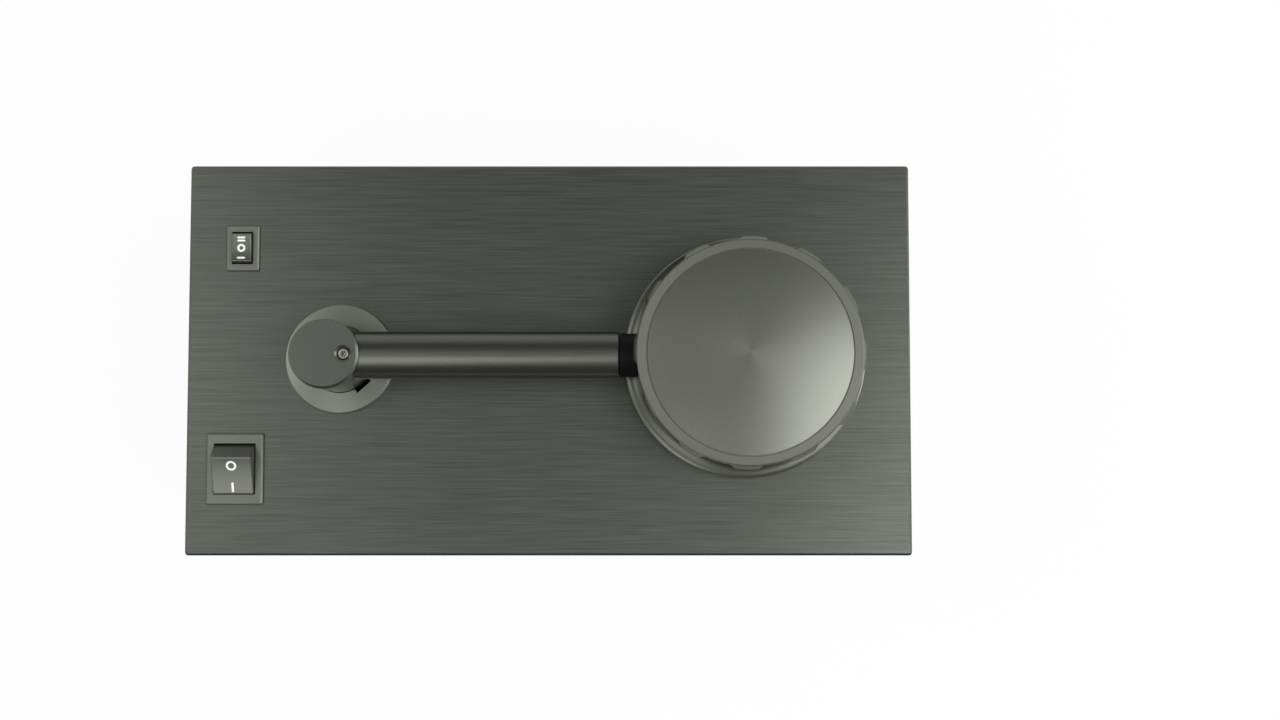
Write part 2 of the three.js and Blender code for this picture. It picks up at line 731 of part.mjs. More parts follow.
function motorPlate() {
  const left = -gearCentres - motorPlateWidth / 2;
  const right = pillarCircle + pillarRadius * 2;
  const outline = roundedRectangle(right - left, motorPlateWidth, 4, (right + left) / 2, 0);
  let plate = extruded(outline, -sheet - motorPlateThickness, -sheet, 3)
    .subtract(rod(bearingRadius + gap, -sheet - motorPlateThickness - 1, -sheet + 1, 28)
      .translate([-gearCentres, 0, 0]));
  for (const angle of [0, 80, -80]) {
    const pillar = rod(pillarRadius, gearboxTop, -sheet - motorPlateThickness + 1, 8);
    plate = plate.add(pillar.translate([pillarCircle, 0, 0]).rotate([0, 0, angle]));
  }
  return plate;
}

function gearbox() {
  return turned([
    [0, gearboxTop - gearboxHeight], [gearboxRadius - 1, gearboxTop - gearboxHeight],
    [gearboxRadius, gearboxTop - gearboxHeight + 1], [gearboxRadius, gearboxTop - 1],
    [gearboxRadius - 1, gearboxTop], [pinionShaftRadius + 3.5, gearboxTop],
    [pinionShaftRadius + 3.5, gearboxTop + 1.5], [0, gearboxTop + 1.5],
  ], 24).subtract(rod(pinionShaftRadius + gap, gearboxTop - pinionShaftDepth - gap, gearboxTop + 2, 16));
}

function driveMotor() {
  const motorTop = gearboxTop - gearboxHeight;
  const motorBottom = motorTop - driveMotorHeight;
  const capBottom = motorBottom - driveMotorCap;
  return turned([
    [0, capBottom], [4, capBottom], [4, motorBottom], [driveMotorRadius - 1, motorBottom],
    [driveMotorRadius, motorBottom + 1], [driveMotorRadius, motorTop], [0, motorTop],
  ], 20);
}

function motorPinion() {
  const halfTooth = Math.PI / pinionTeeth;
  return spurGear(pinionTeeth, gearBottom, gearTop, halfTooth)
    .add(rod(pinionShaftRadius, gearboxTop - pinionShaftDepth, gearTop, 16));
}

add(drive, 'motor_plate', motorPlate(), brightSteel());
add(drive, 'gearbox', gearbox(), brightSteel());
add(drive, 'drive_motor', driveMotor(), brightSteel());
add(drive, 'motor_pinion', motorPinion(), brass());

// Clamp. Heights in this group are measured from the mat's face.
const clamp = groupAt(machine, platterX, 0, top + matTop);

function clampRim() {
  const points = [];
  const pitch = 360 / clampLands;
  const half = clampLandAngle / 2;
  const marks = [
    [-half, clampLandRadius], [half, clampLandRadius],
    [half + 2.5, clampScallopRadius], [pitch - half - 2.5, clampScallopRadius],
  ];
  for (let i = 0; i < clampLands; i += 1) {
    for (const [angle, r] of marks) {
      const a = radians(i * pitch + angle + clampLandTurn);
      points.push(new THREE.Vector2(r * Math.cos(a), r * Math.sin(a)));
    }
  }
  const bevel = clampRimBevel;
  const geometry = new THREE.ExtrudeGeometry(new THREE.Shape(points), {
    depth: clampTop - clampRimBottom - 2 * bevel, bevelThickness: bevel, bevelSize: bevel,
    bevelOffset: -bevel, bevelSegments: 1,
  });
  geometry.translate(0, 0, clampRimBottom + bevel);
  return solid(geometry);
}

function clampBody() {
  const edgeTop = clampUnderside + clampFlangeEdge;
  const coveStart = clampFlangeRadius - 0.9;
  const coveFoot = edgeTop + 0.7;
  const cove = [];
  for (let i = 0; i <= 3; i += 1) {
    const t = i / 3 * Math.PI / 2;
    cove.push([coveStart - (coveStart - clampWaist) * Math.sin(t), coveFoot + clampCove * (1 - Math.cos(t))]);
  }
  const core = turned([
    [0, clampUnderside], [clampFlangeRadius, clampUnderside], [clampFlangeRadius, edgeTop], ...cove,
    [clampWaist, clampTop - 4], [0, clampTop - 4],
  ], 48);
  const grooveBottom = clampTop - domeGrooveDepth;
  const curve = [];
  for (let i = 4; i >= 0; i -= 1) curve.push([domeRadius * i / 4, clampTop + domeRise * (1 - (i / 4) ** 2)]);
  const dome = turned([[0, grooveBottom - 1], [domeRadius, grooveBottom - 1], ...curve], 48);
  return core
    .add(clampRim())
    .subtract(ring(domeRadius - 2, domeRadius + domeGroove, grooveBottom, clampTop + 1, 48))
    .add(dome)
    .subtract(ring(sealInner - gap, sealOuter + gap, clampUnderside - 1, sealHeight + gap, 32))
    .subtract(rod(sealInner - 4, clampUnderside - 1, clampUnderside + 1.2, 24))
    .subtract(rod(insertRadius + gap, clampUnderside, clampUnderside + insertHeight + gap * 2, 20));
}

function clampInsert() {
  const bottom = clampUnderside + gap;
  return ring(spindleTipRadius + gap, insertRadius, bottom, bottom + insertHeight, 20);
}

add(clamp, 'clamp_body', clampBody(), satinGrey());
add(clamp, 'clamp_seal', ring(sealInner, sealOuter, 0, sealHeight, 32), blackRubber());
add(clamp, 'clamp_insert', clampInsert(), brass());

// Rockers: a snap-in moulding with a cavity and a rocker on two trunnions
function switchBody(spec) {
  const [bezelX, bezelY] = spec.bezel;
  const [openX, openY] = spec.opening;
  const [bodyX, bodyY] = spec.body;
  let body = chamferedSlab(roundedRectangle(bezelX, bezelY, 1), 0, spec.bezelHeight, 0.7, 3)
    .add(block(-bodyX / 2, bodyX / 2, -bodyY / 2, bodyY / 2, -spec.depth, spec.bezelHeight / 2))
    .subtract(block(-openX / 2, openX / 2, -openY / 2, openY / 2, -spec.cavity, spec.bezelHeight + 1))
    .subtract(rod(spec.trunnion + gap, -openX / 2 - 1 - gap, openX / 2 + 1 + gap, 12, alongX)
      .translate([0, 0, spec.pivot]));
  for (let i = 0; i < spec.blades; i += 1) {
    const y = (i - (spec.blades - 1) / 2) * bodyY / spec.blades;
    body = body.add(block(
      -spec.blade / 2, spec.blade / 2, y - bladeThickness / 2, y + bladeThickness / 2,
      -spec.depth - bladeLength, -spec.depth + 1));
  }
  return body;
}

function rocker(spec) {
  const [openX, openY] = spec.opening;
  const radius = openY / 2 - gap;
  const [crestY, crestZ] = spec.crest;
  const shape = new THREE.Shape();
  shape.moveTo(crestY, crestZ);
  shape.quadraticCurveTo(0, 2 * spec.valley - crestZ, -crestY, crestZ);
  shape.absarc(0, 0, radius, Math.PI - radians(rockerArcTop), Math.PI - radians(rockerArcBottom), false);
  shape.absarc(0, 0, radius, radians(rockerArcBottom), radians(rockerArcTop), false);
  shape.closePath();
  const half = openX / 2 - gap;
  return extruded(shape, -half, half, 6, alongX)
    .add(rod(spec.trunnion, -openX / 2 - 1, openX / 2 + 1, 12, alongX));
}

function addSwitch(spec, bodyName, rockerName) {
  const group = groupAt(machine, spec.x, spec.y, top);
  add(group, bodyName, switchBody(spec), blackPlastic());
  const mesh = add(group, rockerName, rocker(spec), blackPlastic());
  mesh.position.z = spec.pivot;
  mesh.rotation.x = radians(spec.tilt);
}

addSwitch(smallSwitch, 'drive_switch_body', 'drive_rocker');
addSwitch(largeSwitch, 'vacuum_switch_body', 'vacuum_rocker');

// Waste tank on the bottom plate, with its lid and hoses
const tankGroup = groupAt(machine, 0, 0, floor);
const tankMiddle = (tankLeft + tankRight) / 2;
const tankLength = tankRight - tankLeft;

function wasteTank() {
  const outer = roundedRectangle(tankLength, tankDepth, tankCorner, tankMiddle);
  const inner = roundedRectangle(
    tankLength - 2 * tankWall, tankDepth - 2 * tankWall, tankCorner - tankWall, tankMiddle);
  return extruded(outer, 0, tankHeight, 3)
    .subtract(extruded(inner, tankWall, tankHeight + 1, 3))
    .subtract(rod(drainRadius + gap, tankDepth / 2 - tankWall - 1, tankDepth / 2 + 1, 16, alongY)
      .translate([drainX, 0, drainZ - floor]));
}

function spigot(x, z0, z1) {
  return rod(spigotRadius, z0, z1, 16).translate([x, 0, 0]);
}

function spigotBore(x, z0, z1) {
  return rod(spigotRadius - spigotWall, z0, z1, 12).translate([x, 0, 0]);
}

function tankLid() {
  const bottom = tankHeight;
  const face = bottom + lidThickness;
  const plate = roundedRectangle(tankLength + 2 * tankWall, tankDepth + 2 * tankWall, tankCorner, tankMiddle);
  const lip = roundedRectangle(
    tankLength - 2 * tankWall - 2 * gap, tankDepth - 2 * tankWall - 2 * gap, tankCorner - tankWall, tankMiddle);
  return extruded(plate, bottom, face, 3)
    .add(extruded(lip, bottom - lidThickness, bottom + 1, 3))
    .add(spigot(armX, face - 1, face + spigotHeight))
    .add(spigot(outletX, face - 1, face + spigotHeight))
    .subtract(spigotBore(armX, bottom - lidThickness - 1, face + spigotHeight + 1))
    .subtract(spigotBore(outletX, bottom - lidThickness - 1, face + spigotHeight + 1));
}

const hoseSides = 12;
const hoseInner = (spigotRadius + gap) / Math.cos(Math.PI / hoseSides);
const hoseOuter = hoseInner + hoseWall;

function inletHose() {
  return ring(hoseInner, hoseOuter, lidTop + gap, top + sleeveBottom - gap, 24).translate([armX, 0, 0]);
}

function suctionHose() {
  const corner = (x, side) => [
    [x, 0, hoseTop - hoseBend], [x + side * 2, 0, hoseTop - hoseBend / 2],
    [x + side * hoseBend / 2, 0, hoseTop - 2], [x + side * hoseBend, 0, hoseTop],
  ];
  return piped([
    [outletX, 0, lidTop + gap], ...corner(outletX, 1), ...corner(fanX, -1).reverse(),
    [fanX, 0, fanTop + gap],
  ], hoseOuter, hoseInner, hoseSides, 15);
}

add(tankGroup, 'waste_tank', wasteTank(), finish(0xd8dad6, 0.4, 0.0));
add(tankGroup, 'tank_lid', tankLid(), blackPlastic());
add(machine, 'inlet_hose', inletHose(), blackRubber());
add(machine, 'suction_hose', suctionHose(), blackRubber());

// Vacuum motor with its fan on top; the fan blows out through a horn to the rear grille
const vacuum = groupAt(machine, fanX, 0, 0);
const motorBase = floor + mountRingHeight;

function mountRing() {
  return turned([
    [mountRingHole, floor], [mountRingRadius, floor], [mountRingRadius, motorBase + mountRingLip],
    [vacuumMotorRadius + gap, motorBase + mountRingLip], [vacuumMotorRadius + gap, motorBase],
    [mountRingHole, motorBase], [mountRingHole, floor],
  ], 24);
}

function vacuumMotor() {
  const motorTop = motorBase + vacuumMotorHeight;
  const shoulder = motorBase + vacuumMotorHeight * vacuumMotorShoulder;
  const neckStart = shoulder + (vacuumMotorRadius - vacuumMotorNeck) / 2;
  const ventBottom = motorBase + mountRingLip + 2;
  let motor = turned([
    [0, motorBase], [vacuumMotorRadius, motorBase], [vacuumMotorRadius, shoulder],
    [vacuumMotorNeck, neckStart], [vacuumMotorNeck, motorTop], [0, motorTop],
  ], 24).subtract(rod(impellerShaft + gap, motorTop - impellerShaftDepth - gap, motorTop + 1, 16));
  for (let i = 0; i < 6; i += 1) {
    const vent = block(vacuumMotorRadius - 4, vacuumMotorRadius + 1, -4, 4, ventBottom, shoulder - 4);
    motor = motor.subtract(vent.rotate([0, 0, i * 60 + 30]));
  }
  return motor;
}

function fanHousing() {
  const z0 = fanBottom;
  const z1 = fanBottom + fanHeight;
  const hornX = hornInset;
  const cup = rod(fanRadius, z0, z1, 32);
  const horn = block(hornX, hornX + hornWidth, 0, innerY - gap, hornBottom, hornBottom + hornHeight);
  const inside = rod(fanRadius - fanWall, z0 + fanFloor, z1 + 1, 32);
  const way = block(
    hornX + fanWall, hornX + hornWidth - fanWall, 0, innerY + 1,
    hornBottom + fanWall, hornBottom + hornHeight - fanWall);
  return cup.add(horn).subtract(inside).subtract(way)
    .subtract(rod(impellerShaft + gap, z0 - 1, z0 + fanFloor + 1, 16));
}

function fanCover() {
  const z0 = fanBottom + fanHeight;
  return rod(fanRadius, z0, z0 + fanFloor, 32)
    .add(rod(spigotRadius, z0 + 1, fanTop + spigotHeight, 16))
    .subtract(rod(spigotRadius - spigotWall, z0 - 1, fanTop + spigotHeight + 1, 12));
}

// Backward-curved blades between a back disc and a front ring with the eye in its middle.
function impeller() {
  const z0 = fanBottom + fanFloor + 3;
  const z1 = z0 + impellerHeight;
  let wheel = rod(impellerRadius, z0, z0 + impellerDisc, 28)
    .add(ring(impellerEye, impellerRadius, z1 - impellerDisc, z1, 28))
    .add(rod(impellerShaft, fanBottom - gap - impellerShaftDepth, z0 + 8, 16))
    .add(rod(impellerShaft + 5, z0, z0 + 10, 16));
  const blade = new THREE.Shape();
  const outer = [];
  const inner = [];
  for (let i = 0; i <= 3; i += 1) {
    const r = impellerEye + 3 + (impellerRadius - 0.5 - impellerEye - 3) * i / 3;
    const angle = -radians(17 * i);
    const half = impellerBladeThickness / 2 / r;
    outer.push([r, angle + half]);
    inner.push([r, angle - half]);
  }
  const outline = [...inner, ...outer.reverse()];
  outline.forEach(([r, a], i) => {
    const place = [r * Math.cos(a), r * Math.sin(a)];
    if (i === 0) blade.moveTo(...place);
    else blade.lineTo(...place);
  });
  blade.closePath();
  const vane = extruded(blade, z0 + impellerDisc / 2, z1 - impellerDisc / 2);
  for (let i = 0; i < impellerBlades; i += 1) {
    wheel = wheel.add(vane.rotate([0, 0, i * 360 / impellerBlades]));
  }
  return wheel;
}

add(vacuum, 'mount_ring', mountRing(), blackRubber());
add(vacuum, 'vacuum_motor', vacuumMotor(), brightSteel());
add(vacuum, 'fan_housing', fanHousing(), brightSteel());
add(vacuum, 'fan_cover', fanCover(), brightSteel());
add(vacuum, 'impeller', impeller(), brightSteel());

// Rear panel: mains inlet, exhaust grille and the level tube, which also drains the tank
function mainsInlet() {
  const [flangeX, flangeZ] = inletFlange;
  const [bodyX, bodyZ] = inletBody;
  const [cavityX, cavityZ] = inletCavity;
  const face = rearFace + inletFlangeThickness;
  const floorY = face - inletCavityDepth;
  const mouth = new THREE.Shape();
  mouth.moveTo(-cavityZ / 2, -cavityX / 2);
  mouth.lineTo(cavityZ / 2 - inletCavityCut, -cavityX / 2);
  mouth.lineTo(cavityZ / 2, -cavityX / 2 + inletCavityCut);
  mouth.lineTo(cavityZ / 2, cavityX / 2 - inletCavityCut);
  mouth.lineTo(cavityZ / 2 - inletCavityCut, cavityX / 2);
  mouth.lineTo(-cavityZ / 2, cavityX / 2);
  mouth.closePath();
  let inlet = extruded(roundedRectangle(flangeZ, flangeX, 5), rearFace, face, 4, alongY)
    .add(block(-bodyX / 2, bodyX / 2, rearFace - inletBodyDepth, rearFace + 1, -bodyZ / 2, bodyZ / 2))
    .subtract(extruded(mouth, floorY, face + 1, 4, alongY));
  for (const [x, z] of [[-inletPinSpacing, -2], [0, 2], [inletPinSpacing, -2]]) {
    inlet = inlet
      .add(block(x - 1, x + 1, floorY - 1, floorY + inletPinLength, z - 2, z + 2))
      .add(block(
        x - 2.4, x + 2.4, rearFace - inletBodyDepth - inletTabLength, rearFace - inletBodyDepth + 1,
        z - 0.4, z + 0.4));
  }
  return inlet.translate([inletX, 0, inletZ]);
}

function exhaustGrille() {
  const width = exhaustHole.x1 - exhaustHole.x0;
  const height = exhaustHole.z1 - exhaustHole.z0;
  const outline = roundedRectangle(height + 2 * grilleMargin, width + 2 * grilleMargin, 3);
  let grille = extruded(outline, rearFace, rearFace + grilleThickness, 3, alongY);
  const pitch = height / grilleSlots;
  for (let i = 0; i < grilleSlots; i += 1) {
    const z = (i - (grilleSlots - 1) / 2) * pitch;
    grille = grille.subtract(block(
      -width / 2, width / 2, rearFace - 1, rearFace + grilleThickness + 1,
      z - grilleSlotHeight / 2, z + grilleSlotHeight / 2));
  }
  const middle = (exhaustHole.x0 + exhaustHole.x1) / 2;
  return grille.translate([middle, 0, (exhaustHole.z0 + exhaustHole.z1) / 2]);
}

const levelY = rearFace + tubeStandoff;

function drainElbow() {
  const inside = tankDepth / 2 - tankWall - 2;
  const bend = new THREE.SphereGeometry(drainRadius, 12, 8);
  bend.translate(0, levelY, 0);
  return rod(drainRadius, inside, levelY, 12, alongY)
    .add(rod(drainCollarRadius, rearFace, rearFace + 2.5, 6, alongY))
    .add(solid(bend))
    .add(rod(drainBarbRadius, 0, drainBarbTop - drainZ, 12).translate([0, levelY, 0]))
    .subtract(rod(drainBore, inside - 1, levelY + drainBore * 0.7, 8, alongY))
    .subtract(rod(drainBore, 0, drainBarbTop - drainZ + 1, 8).translate([0, levelY, 0]))
    .translate([drainX, 0, drainZ]);
}

function tubeClip() {
  const inner = levelTubeRadius + gap;
  const mouth = new THREE.Shape();
  const half = radians(clipMouth / 2);
  mouth.moveTo(0, 0);
  mouth.lineTo(20 * Math.cos(Math.PI / 2 - half), 20 * Math.sin(Math.PI / 2 - half));
  mouth.lineTo(20 * Math.cos(Math.PI / 2 + half), 20 * Math.sin(Math.PI / 2 + half));
  mouth.closePath();
  return ring(inner, clipRadius, clipBottom, clipBottom + clipHeight, 24)
    .subtract(extruded(mouth, clipBottom - 1, clipBottom + clipHeight + 1))
    .add(block(-6, 6, -tubeStandoff, -inner - 0.4, clipBottom, clipBottom + clipHeight))
    .translate([drainX, levelY, 0]);
}

function tubeStopper() {
  const shank = levelTubeInner - gap;
  return turned([
    [0, levelTubeTop - stopperLength], [shank - 0.6, levelTubeTop - stopperLength],
    [shank, levelTubeTop - stopperLength + 1], [shank, levelTubeTop + gap],
    [stopperHeadRadius, levelTubeTop + gap], [stopperHeadRadius, levelTubeTop + gap + stopperHead - 1],
    [stopperHeadRadius - 1, levelTubeTop + gap + stopperHead], [0, levelTubeTop + gap + stopperHead],
  ], 20).translate([drainX, levelY, 0]);
}

const levelTubeInner = drainBarbRadius + gap;
const rear = groupAt(machine, 0, 0, 0);
add(rear, 'mains_inlet', mainsInlet(), blackPlastic());
add(rear, 'exhaust_grille', exhaustGrille(), blackPlastic());
add(rear, 'drain_elbow', drainElbow(), blackPlastic());
add(rear, 'level_tube', ring(
  levelTubeInner, levelTubeRadius, levelTubeBottom, levelTubeTop, 20).translate([drainX, levelY, 0]),
finish(0xdfe3e0, 0.2, 0.0));
add(rear, 'tube_clip', tubeClip(), blackPlastic());
add(rear, 'tube_stopper', tubeStopper(), blackRubber());

// Power board: transformer, capacitors and terminal block on four standoffs
function powerBoard() {
  const back = -innerY;
  const face = back + boardStandoff;
  const front = face + boardThickness;
  const onBoard = ({ x, width, height, depth }) => block(
    x - width / 2, x + width / 2, front - 0.5, front + depth, -height / 2, height / 2);
  let board = block(-boardLength / 2, boardLength / 2, face, front, -boardHeight / 2, boardHeight / 2)
    .add(onBoard(transformer))
    .add(onBoard(terminals));
  for (const z of capacitors.z) {
    board = board.add(rod(capacitors.radius, front - 0.5, front + capacitors.length, 12, alongY)
      .translate([capacitors.x, 0, z]));
  }
  for (const sideX of [-1, 1]) {
    for (const sideZ of [-1, 1]) {
      const x = sideX * (boardLength / 2 - boardStandoffInset);
      const z = sideZ * (boardHeight / 2 - boardStandoffInset);
      board = board.add(rod(boardStandoffRadius, back, face + 0.5, 8, alongY).translate([x, 0, z]));
    }
  }
  return board.translate([boardX, 0, ceiling - boardHeadroom - boardHeight / 2]);
}

// The mains loom rises from the inlet's tabs and runs over the tank to the large rocker.
function mainsLoom() {
  const tabs = rearFace - inletBodyDepth - inletTabLength;
  const blades = top - largeSwitch.depth - bladeLength;
  const bend = 3 * loomRadius;
  const level = Math.max(lidTop, inletZ + 3 * bend) + loomClearance + bend;
  const riseY = tabs - bend;
  const wallX = loomClearance + loomRadius - innerX;
  return piped([
    [inletX, tabs - gap, inletZ], [inletX, tabs - bend / 2, inletZ], [inletX, riseY, inletZ + bend / 2],
    [inletX, riseY, inletZ + 2 * bend], [inletX, riseY, level - bend], [inletX - bend / 2, riseY, level - bend / 3],
    [inletX - 2 * bend, riseY, level], [armX, riseY, level], [wallX + 2 * bend, riseY, level],
    [wallX + bend / 2, riseY - bend / 2, level], [wallX, riseY - 2 * bend, level],
    [wallX, largeSwitch.y + 3 * bend, level], [(wallX + largeSwitch.x) / 2, largeSwitch.y + bend, level + bend / 2],
    [largeSwitch.x, largeSwitch.y, level + 2 * bend], [largeSwitch.x, largeSwitch.y, blades - gap],
  ], loomRadius, 0, 6, 30);
}

add(machine, 'power_board', powerBoard(), finish(0x2f5a3a, 0.6, 0.0));
add(machine, 'mains_loom', mainsLoom(), blackRubber());

machine.position.y = -rearReach / 2;

export default machine;
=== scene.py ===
# Vacuum record cleaning machine. Metres, +Z up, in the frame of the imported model.
import math

import bmesh
import bpy
from mathutils import Matrix, Vector, noise


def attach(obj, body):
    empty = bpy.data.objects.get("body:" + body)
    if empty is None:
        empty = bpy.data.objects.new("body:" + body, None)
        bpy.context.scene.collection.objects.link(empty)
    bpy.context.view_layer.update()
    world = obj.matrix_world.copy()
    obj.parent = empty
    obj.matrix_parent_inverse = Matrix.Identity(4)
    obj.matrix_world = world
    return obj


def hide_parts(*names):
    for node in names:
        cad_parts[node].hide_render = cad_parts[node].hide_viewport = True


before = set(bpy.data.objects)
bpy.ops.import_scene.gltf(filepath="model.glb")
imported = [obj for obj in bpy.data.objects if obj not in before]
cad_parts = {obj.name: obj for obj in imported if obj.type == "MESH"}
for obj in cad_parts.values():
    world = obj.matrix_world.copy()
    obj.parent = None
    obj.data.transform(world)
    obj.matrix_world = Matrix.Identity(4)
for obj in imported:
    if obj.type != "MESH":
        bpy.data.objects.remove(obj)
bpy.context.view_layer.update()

scene = bpy.context.scene
scene.view_settings.view_transform = "Standard"

# Camera: it looks almost straight down on the machine, from a little in front of its middle,
# and is tipped by a few degrees towards the back.
CAMERA_PLACE = (0.04078, -0.05125, 0.91661)
CAMERA_TILT = 3.49
FIELD_OF_VIEW = 43.56

camera_data = bpy.data.cameras.new("camera")
camera_data.lens = camera_data.sensor_width / 2 / math.tan(math.radians(FIELD_OF_VIEW) / 2)
camera = bpy.data.objects.new("camera", camera_data)
camera.location = CAMERA_PLACE
camera.rotation_euler = (math.radians(CAMERA_TILT), 0, 0)
scene.collection.objects.link(camera)
scene.camera = camera


# Studio: a pale floor and a white surround, which reflections find dim overhead and dark in front and
# high up at the rear. Soft panels hang on the right, in front and on the left, and a low one on the
# right makes the edges bright.
class Wire:
    """A socket of a finish. Ordinary arithmetic on it adds Math nodes."""

    def __init__(self, finish, socket):
        self.finish, self.socket = finish, socket

    def __getitem__(self, output):
        return Wire(self.finish, next(s for s in self.socket.node.outputs if s.identifier == output))

    def math(self, operation, *values):
        return self.finish.node("ShaderNodeMath", {"operation": operation}, *values)

    def __add__(self, other):
        return self.math("ADD", self, other)

    def __sub__(self, other):
        return self.math("SUBTRACT", self, other)

    def __rsub__(self, other):
        return self.math("SUBTRACT", other, self)

    def __mul__(self, other):
        return self.math("MULTIPLY", self, other)

    def __pow__(self, other):
        return self.math("POWER", self, other)

    __radd__, __rmul__ = __add__, __mul__


class Finish:
    """The shader nodes of a material or of the world."""

    def __init__(self, owner):
        owner.use_nodes = True
        self.owner, self.tree = owner, owner.node_tree

    def feed(self, node, sockets):
        for key, value in sockets.items():
            socket = node.inputs[key] if isinstance(key, int) else next(
                s for s in node.inputs if s.identifier.replace(" ", "_") == key)
            if isinstance(value, Wire):
                self.tree.links.new(value.socket, socket)
            elif socket.type == "RGBA":
                socket.default_value = (*value[:3], 1)
            else:
                socket.default_value = value

    def node(self, kind, settings=None, *values, **named):
        node = self.tree.nodes.new(kind)
        for key, value in (settings or {}).items():
            setattr(node, key, value)
        self.feed(node, {**dict(enumerate(values)), **named})
        return Wire(self, node.outputs[0]) if node.outputs else node

    def wear(self, **sockets):
        self.feed(self.tree.nodes["Principled BSDF"], sockets)
        return self

    def place(self):
        return self.node("ShaderNodeTexCoord")["Object"]

    def mix(self, share, first, second):
        return self.node("ShaderNodeMix", {"data_type": "RGBA"},
                         Factor_Float=share, A_Color=first, B_Color=second)["Result_Color"]

    def step(self, value, low, high, start=0.0, end=1.0):
        return self.node("ShaderNodeMapRange", {"interpolation_type": "SMOOTHSTEP"}, Value=value,
                         From_Min=low, From_Max=high, To_Min=start, To_Max=end)

    def seen(self):
        """1 where the camera, a reflection or a view through glass meets the surface."""
        path = self.node("ShaderNodeLightPath")
        return path.math("MAXIMUM", path["Is Camera Ray"],
                         path.math("MAXIMUM", path["Is Glossy Ray"], path["Is Transmission Ray"]))


FLOOR_WHITE = 0.94
FLOOR_OWN_LIGHT = 0.93          # share of the floor's white that no shadow reaches, near the machine
WORLD_FILL = 0.36               # what the surround gives as light
ZENITH, CEILING, FRONT = 0.52, 0.12, 0.1    # how bright a reflection finds it overhead, high up at
                                            # the rear and in front, against 1 at the horizon
FRONT_TURN = (-0.95, -0.45)     # Y of the directions between which the front turns from dark to white
REAR_TURN = (0.2, 0.5)          # and those between which the zenith turns into the ceiling at the rear
RISE_TURN = (0.2, 0.65)         # Z of the directions between which the horizon turns into these two
GLOSS_REACH = (0.55, 0.95)      # distances between which a reflection of the floor turns dark in front
SHADOW_REACH = (0.5, 1.6)       # distances between which the floor's shadows fade out
FLOOR_HALF, FLOOR_DROP = 6, 0.0002

floor_finish = Finish(bpy.data.materials.new("pale_floor"))
floor_finish.wear(Base_Color=(FLOOR_WHITE,) * 3, Roughness=0.9)
lit = Wire(floor_finish, floor_finish.tree.nodes["Principled BSDF"].outputs[0])
spot = floor_finish.place()
reach = floor_finish.node("ShaderNodeVectorMath", {"operation": "LENGTH"}, spot)["Value"]
outward = floor_finish.node("ShaderNodeSeparateXYZ", None, floor_finish.node(
    "ShaderNodeVectorMath", {"operation": "NORMALIZE"}, spot))
far_floor = floor_finish.step(outward["Y"], *FRONT_TURN, FRONT, 1.0)
straight = floor_finish.node("ShaderNodeLightPath")["Is Camera Ray"]
glow = floor_finish.node("ShaderNodeEmission", None, Color=(1, 1, 1), Strength=straight.math(
    "MAXIMUM", straight, floor_finish.step(reach, *GLOSS_REACH, 1.0, far_floor)))
own_light = floor_finish.step(reach, *SHADOW_REACH, FLOOR_OWN_LIGHT, 1.0)
both = floor_finish.node("ShaderNodeMixShader", None, floor_finish.seen() * own_light, lit, glow)
floor_finish.feed(floor_finish.tree.nodes["Material Output"], {"Surface": both})
floor_shape = bmesh.new()
bmesh.ops.create_grid(floor_shape, x_segments=1, y_segments=1, size=FLOOR_HALF)
bmesh.ops.translate(floor_shape, verts=floor_shape.verts, vec=(0, 0, -FLOOR_DROP))
floor_mesh = bpy.data.meshes.new("floor")
floor_shape.to_mesh(floor_mesh)
floor_shape.free()
floor_mesh.materials.append(floor_finish.owner)
floor = bpy.data.objects.new("floor", floor_mesh)
scene.collection.objects.link(floor)

scene.world = bpy.data.worlds.new("surround")
surround = Finish(scene.world)
path = surround.node("ShaderNodeLightPath")
camera_ray = path["Is Camera Ray"]
mirror_ray = path.math("MAXIMUM", path["Is Glossy Ray"], path["Is Transmission Ray"])
way = surround.node("ShaderNodeSeparateXYZ", None, surround.node("ShaderNodeTexCoord")["Generated"])
overhead = surround.step(way["Y"], *REAR_TURN, ZENITH, CEILING)
sky = (surround.step(way["Z"], *RISE_TURN, 1.0, overhead)
       * surround.step(way["Y"], *FRONT_TURN, FRONT, 1.0))
fill = (1 - camera_ray.math("MAXIMUM", camera_ray, mirror_ray)) * WORLD_FILL
surround.feed(surround.tree.nodes["Background"], {
    "Color": (1, 1, 1), "Strength": camera_ray + (1 - camera_ray) * mirror_ray * sky + fill})


LAMP_AIM = (0, 0, 0.2)


def panel_lamp(name, place, width, depth, brightness):
    """A rectangle of light that faces the machine's top; its brightness is against a white of 1."""
    data = bpy.data.lights.new(name, "AREA")
    data.shape, data.size, data.size_y = "RECTANGLE", width, depth
    data.energy = brightness * math.pi * width * depth
    lamp = bpy.data.objects.new(name, data)
    lamp.location = place
    lamp.rotation_euler = (Vector(LAMP_AIM) - Vector(place)).to_track_quat("-Z", "Y").to_euler()
    lamp.visible_camera = False
    scene.collection.objects.link(lamp)


panel_lamp("right_panel", (0.8, -0.26, 1.67), 0.95, 0.85, 5.3)
panel_lamp("front_panel", (-0.5, -0.85, 1.6), 0.65, 1.15, 2.6)
panel_lamp("left_panel", (-0.95, 0.12, 1.58), 0.65, 0.7, 3.9)
panel_lamp("right_edge", (1.4, 0.05, 0.42), 0.9, 0.42, 5.5)


# Bottom plate, corner angles and feet: a 3 mm sheet with cooling slots under the vacuum motor, four
# zinc-plated steel angles that the panels are screwed to, and four push-in rubber feet.
MM = 0.001
SHIFT = -7.25                   # of the machine's middle along Y, in millimetres
MERGE = 0.002                   # millimetres between points that are one point
CREASE, SOFT = 35, 4            # degrees between two faces from which their edge stays crisp, and
                                # below which it is shaded round
NARROW = 3                      # between these it stays crisp if one face has this many times the
                                # area of the other


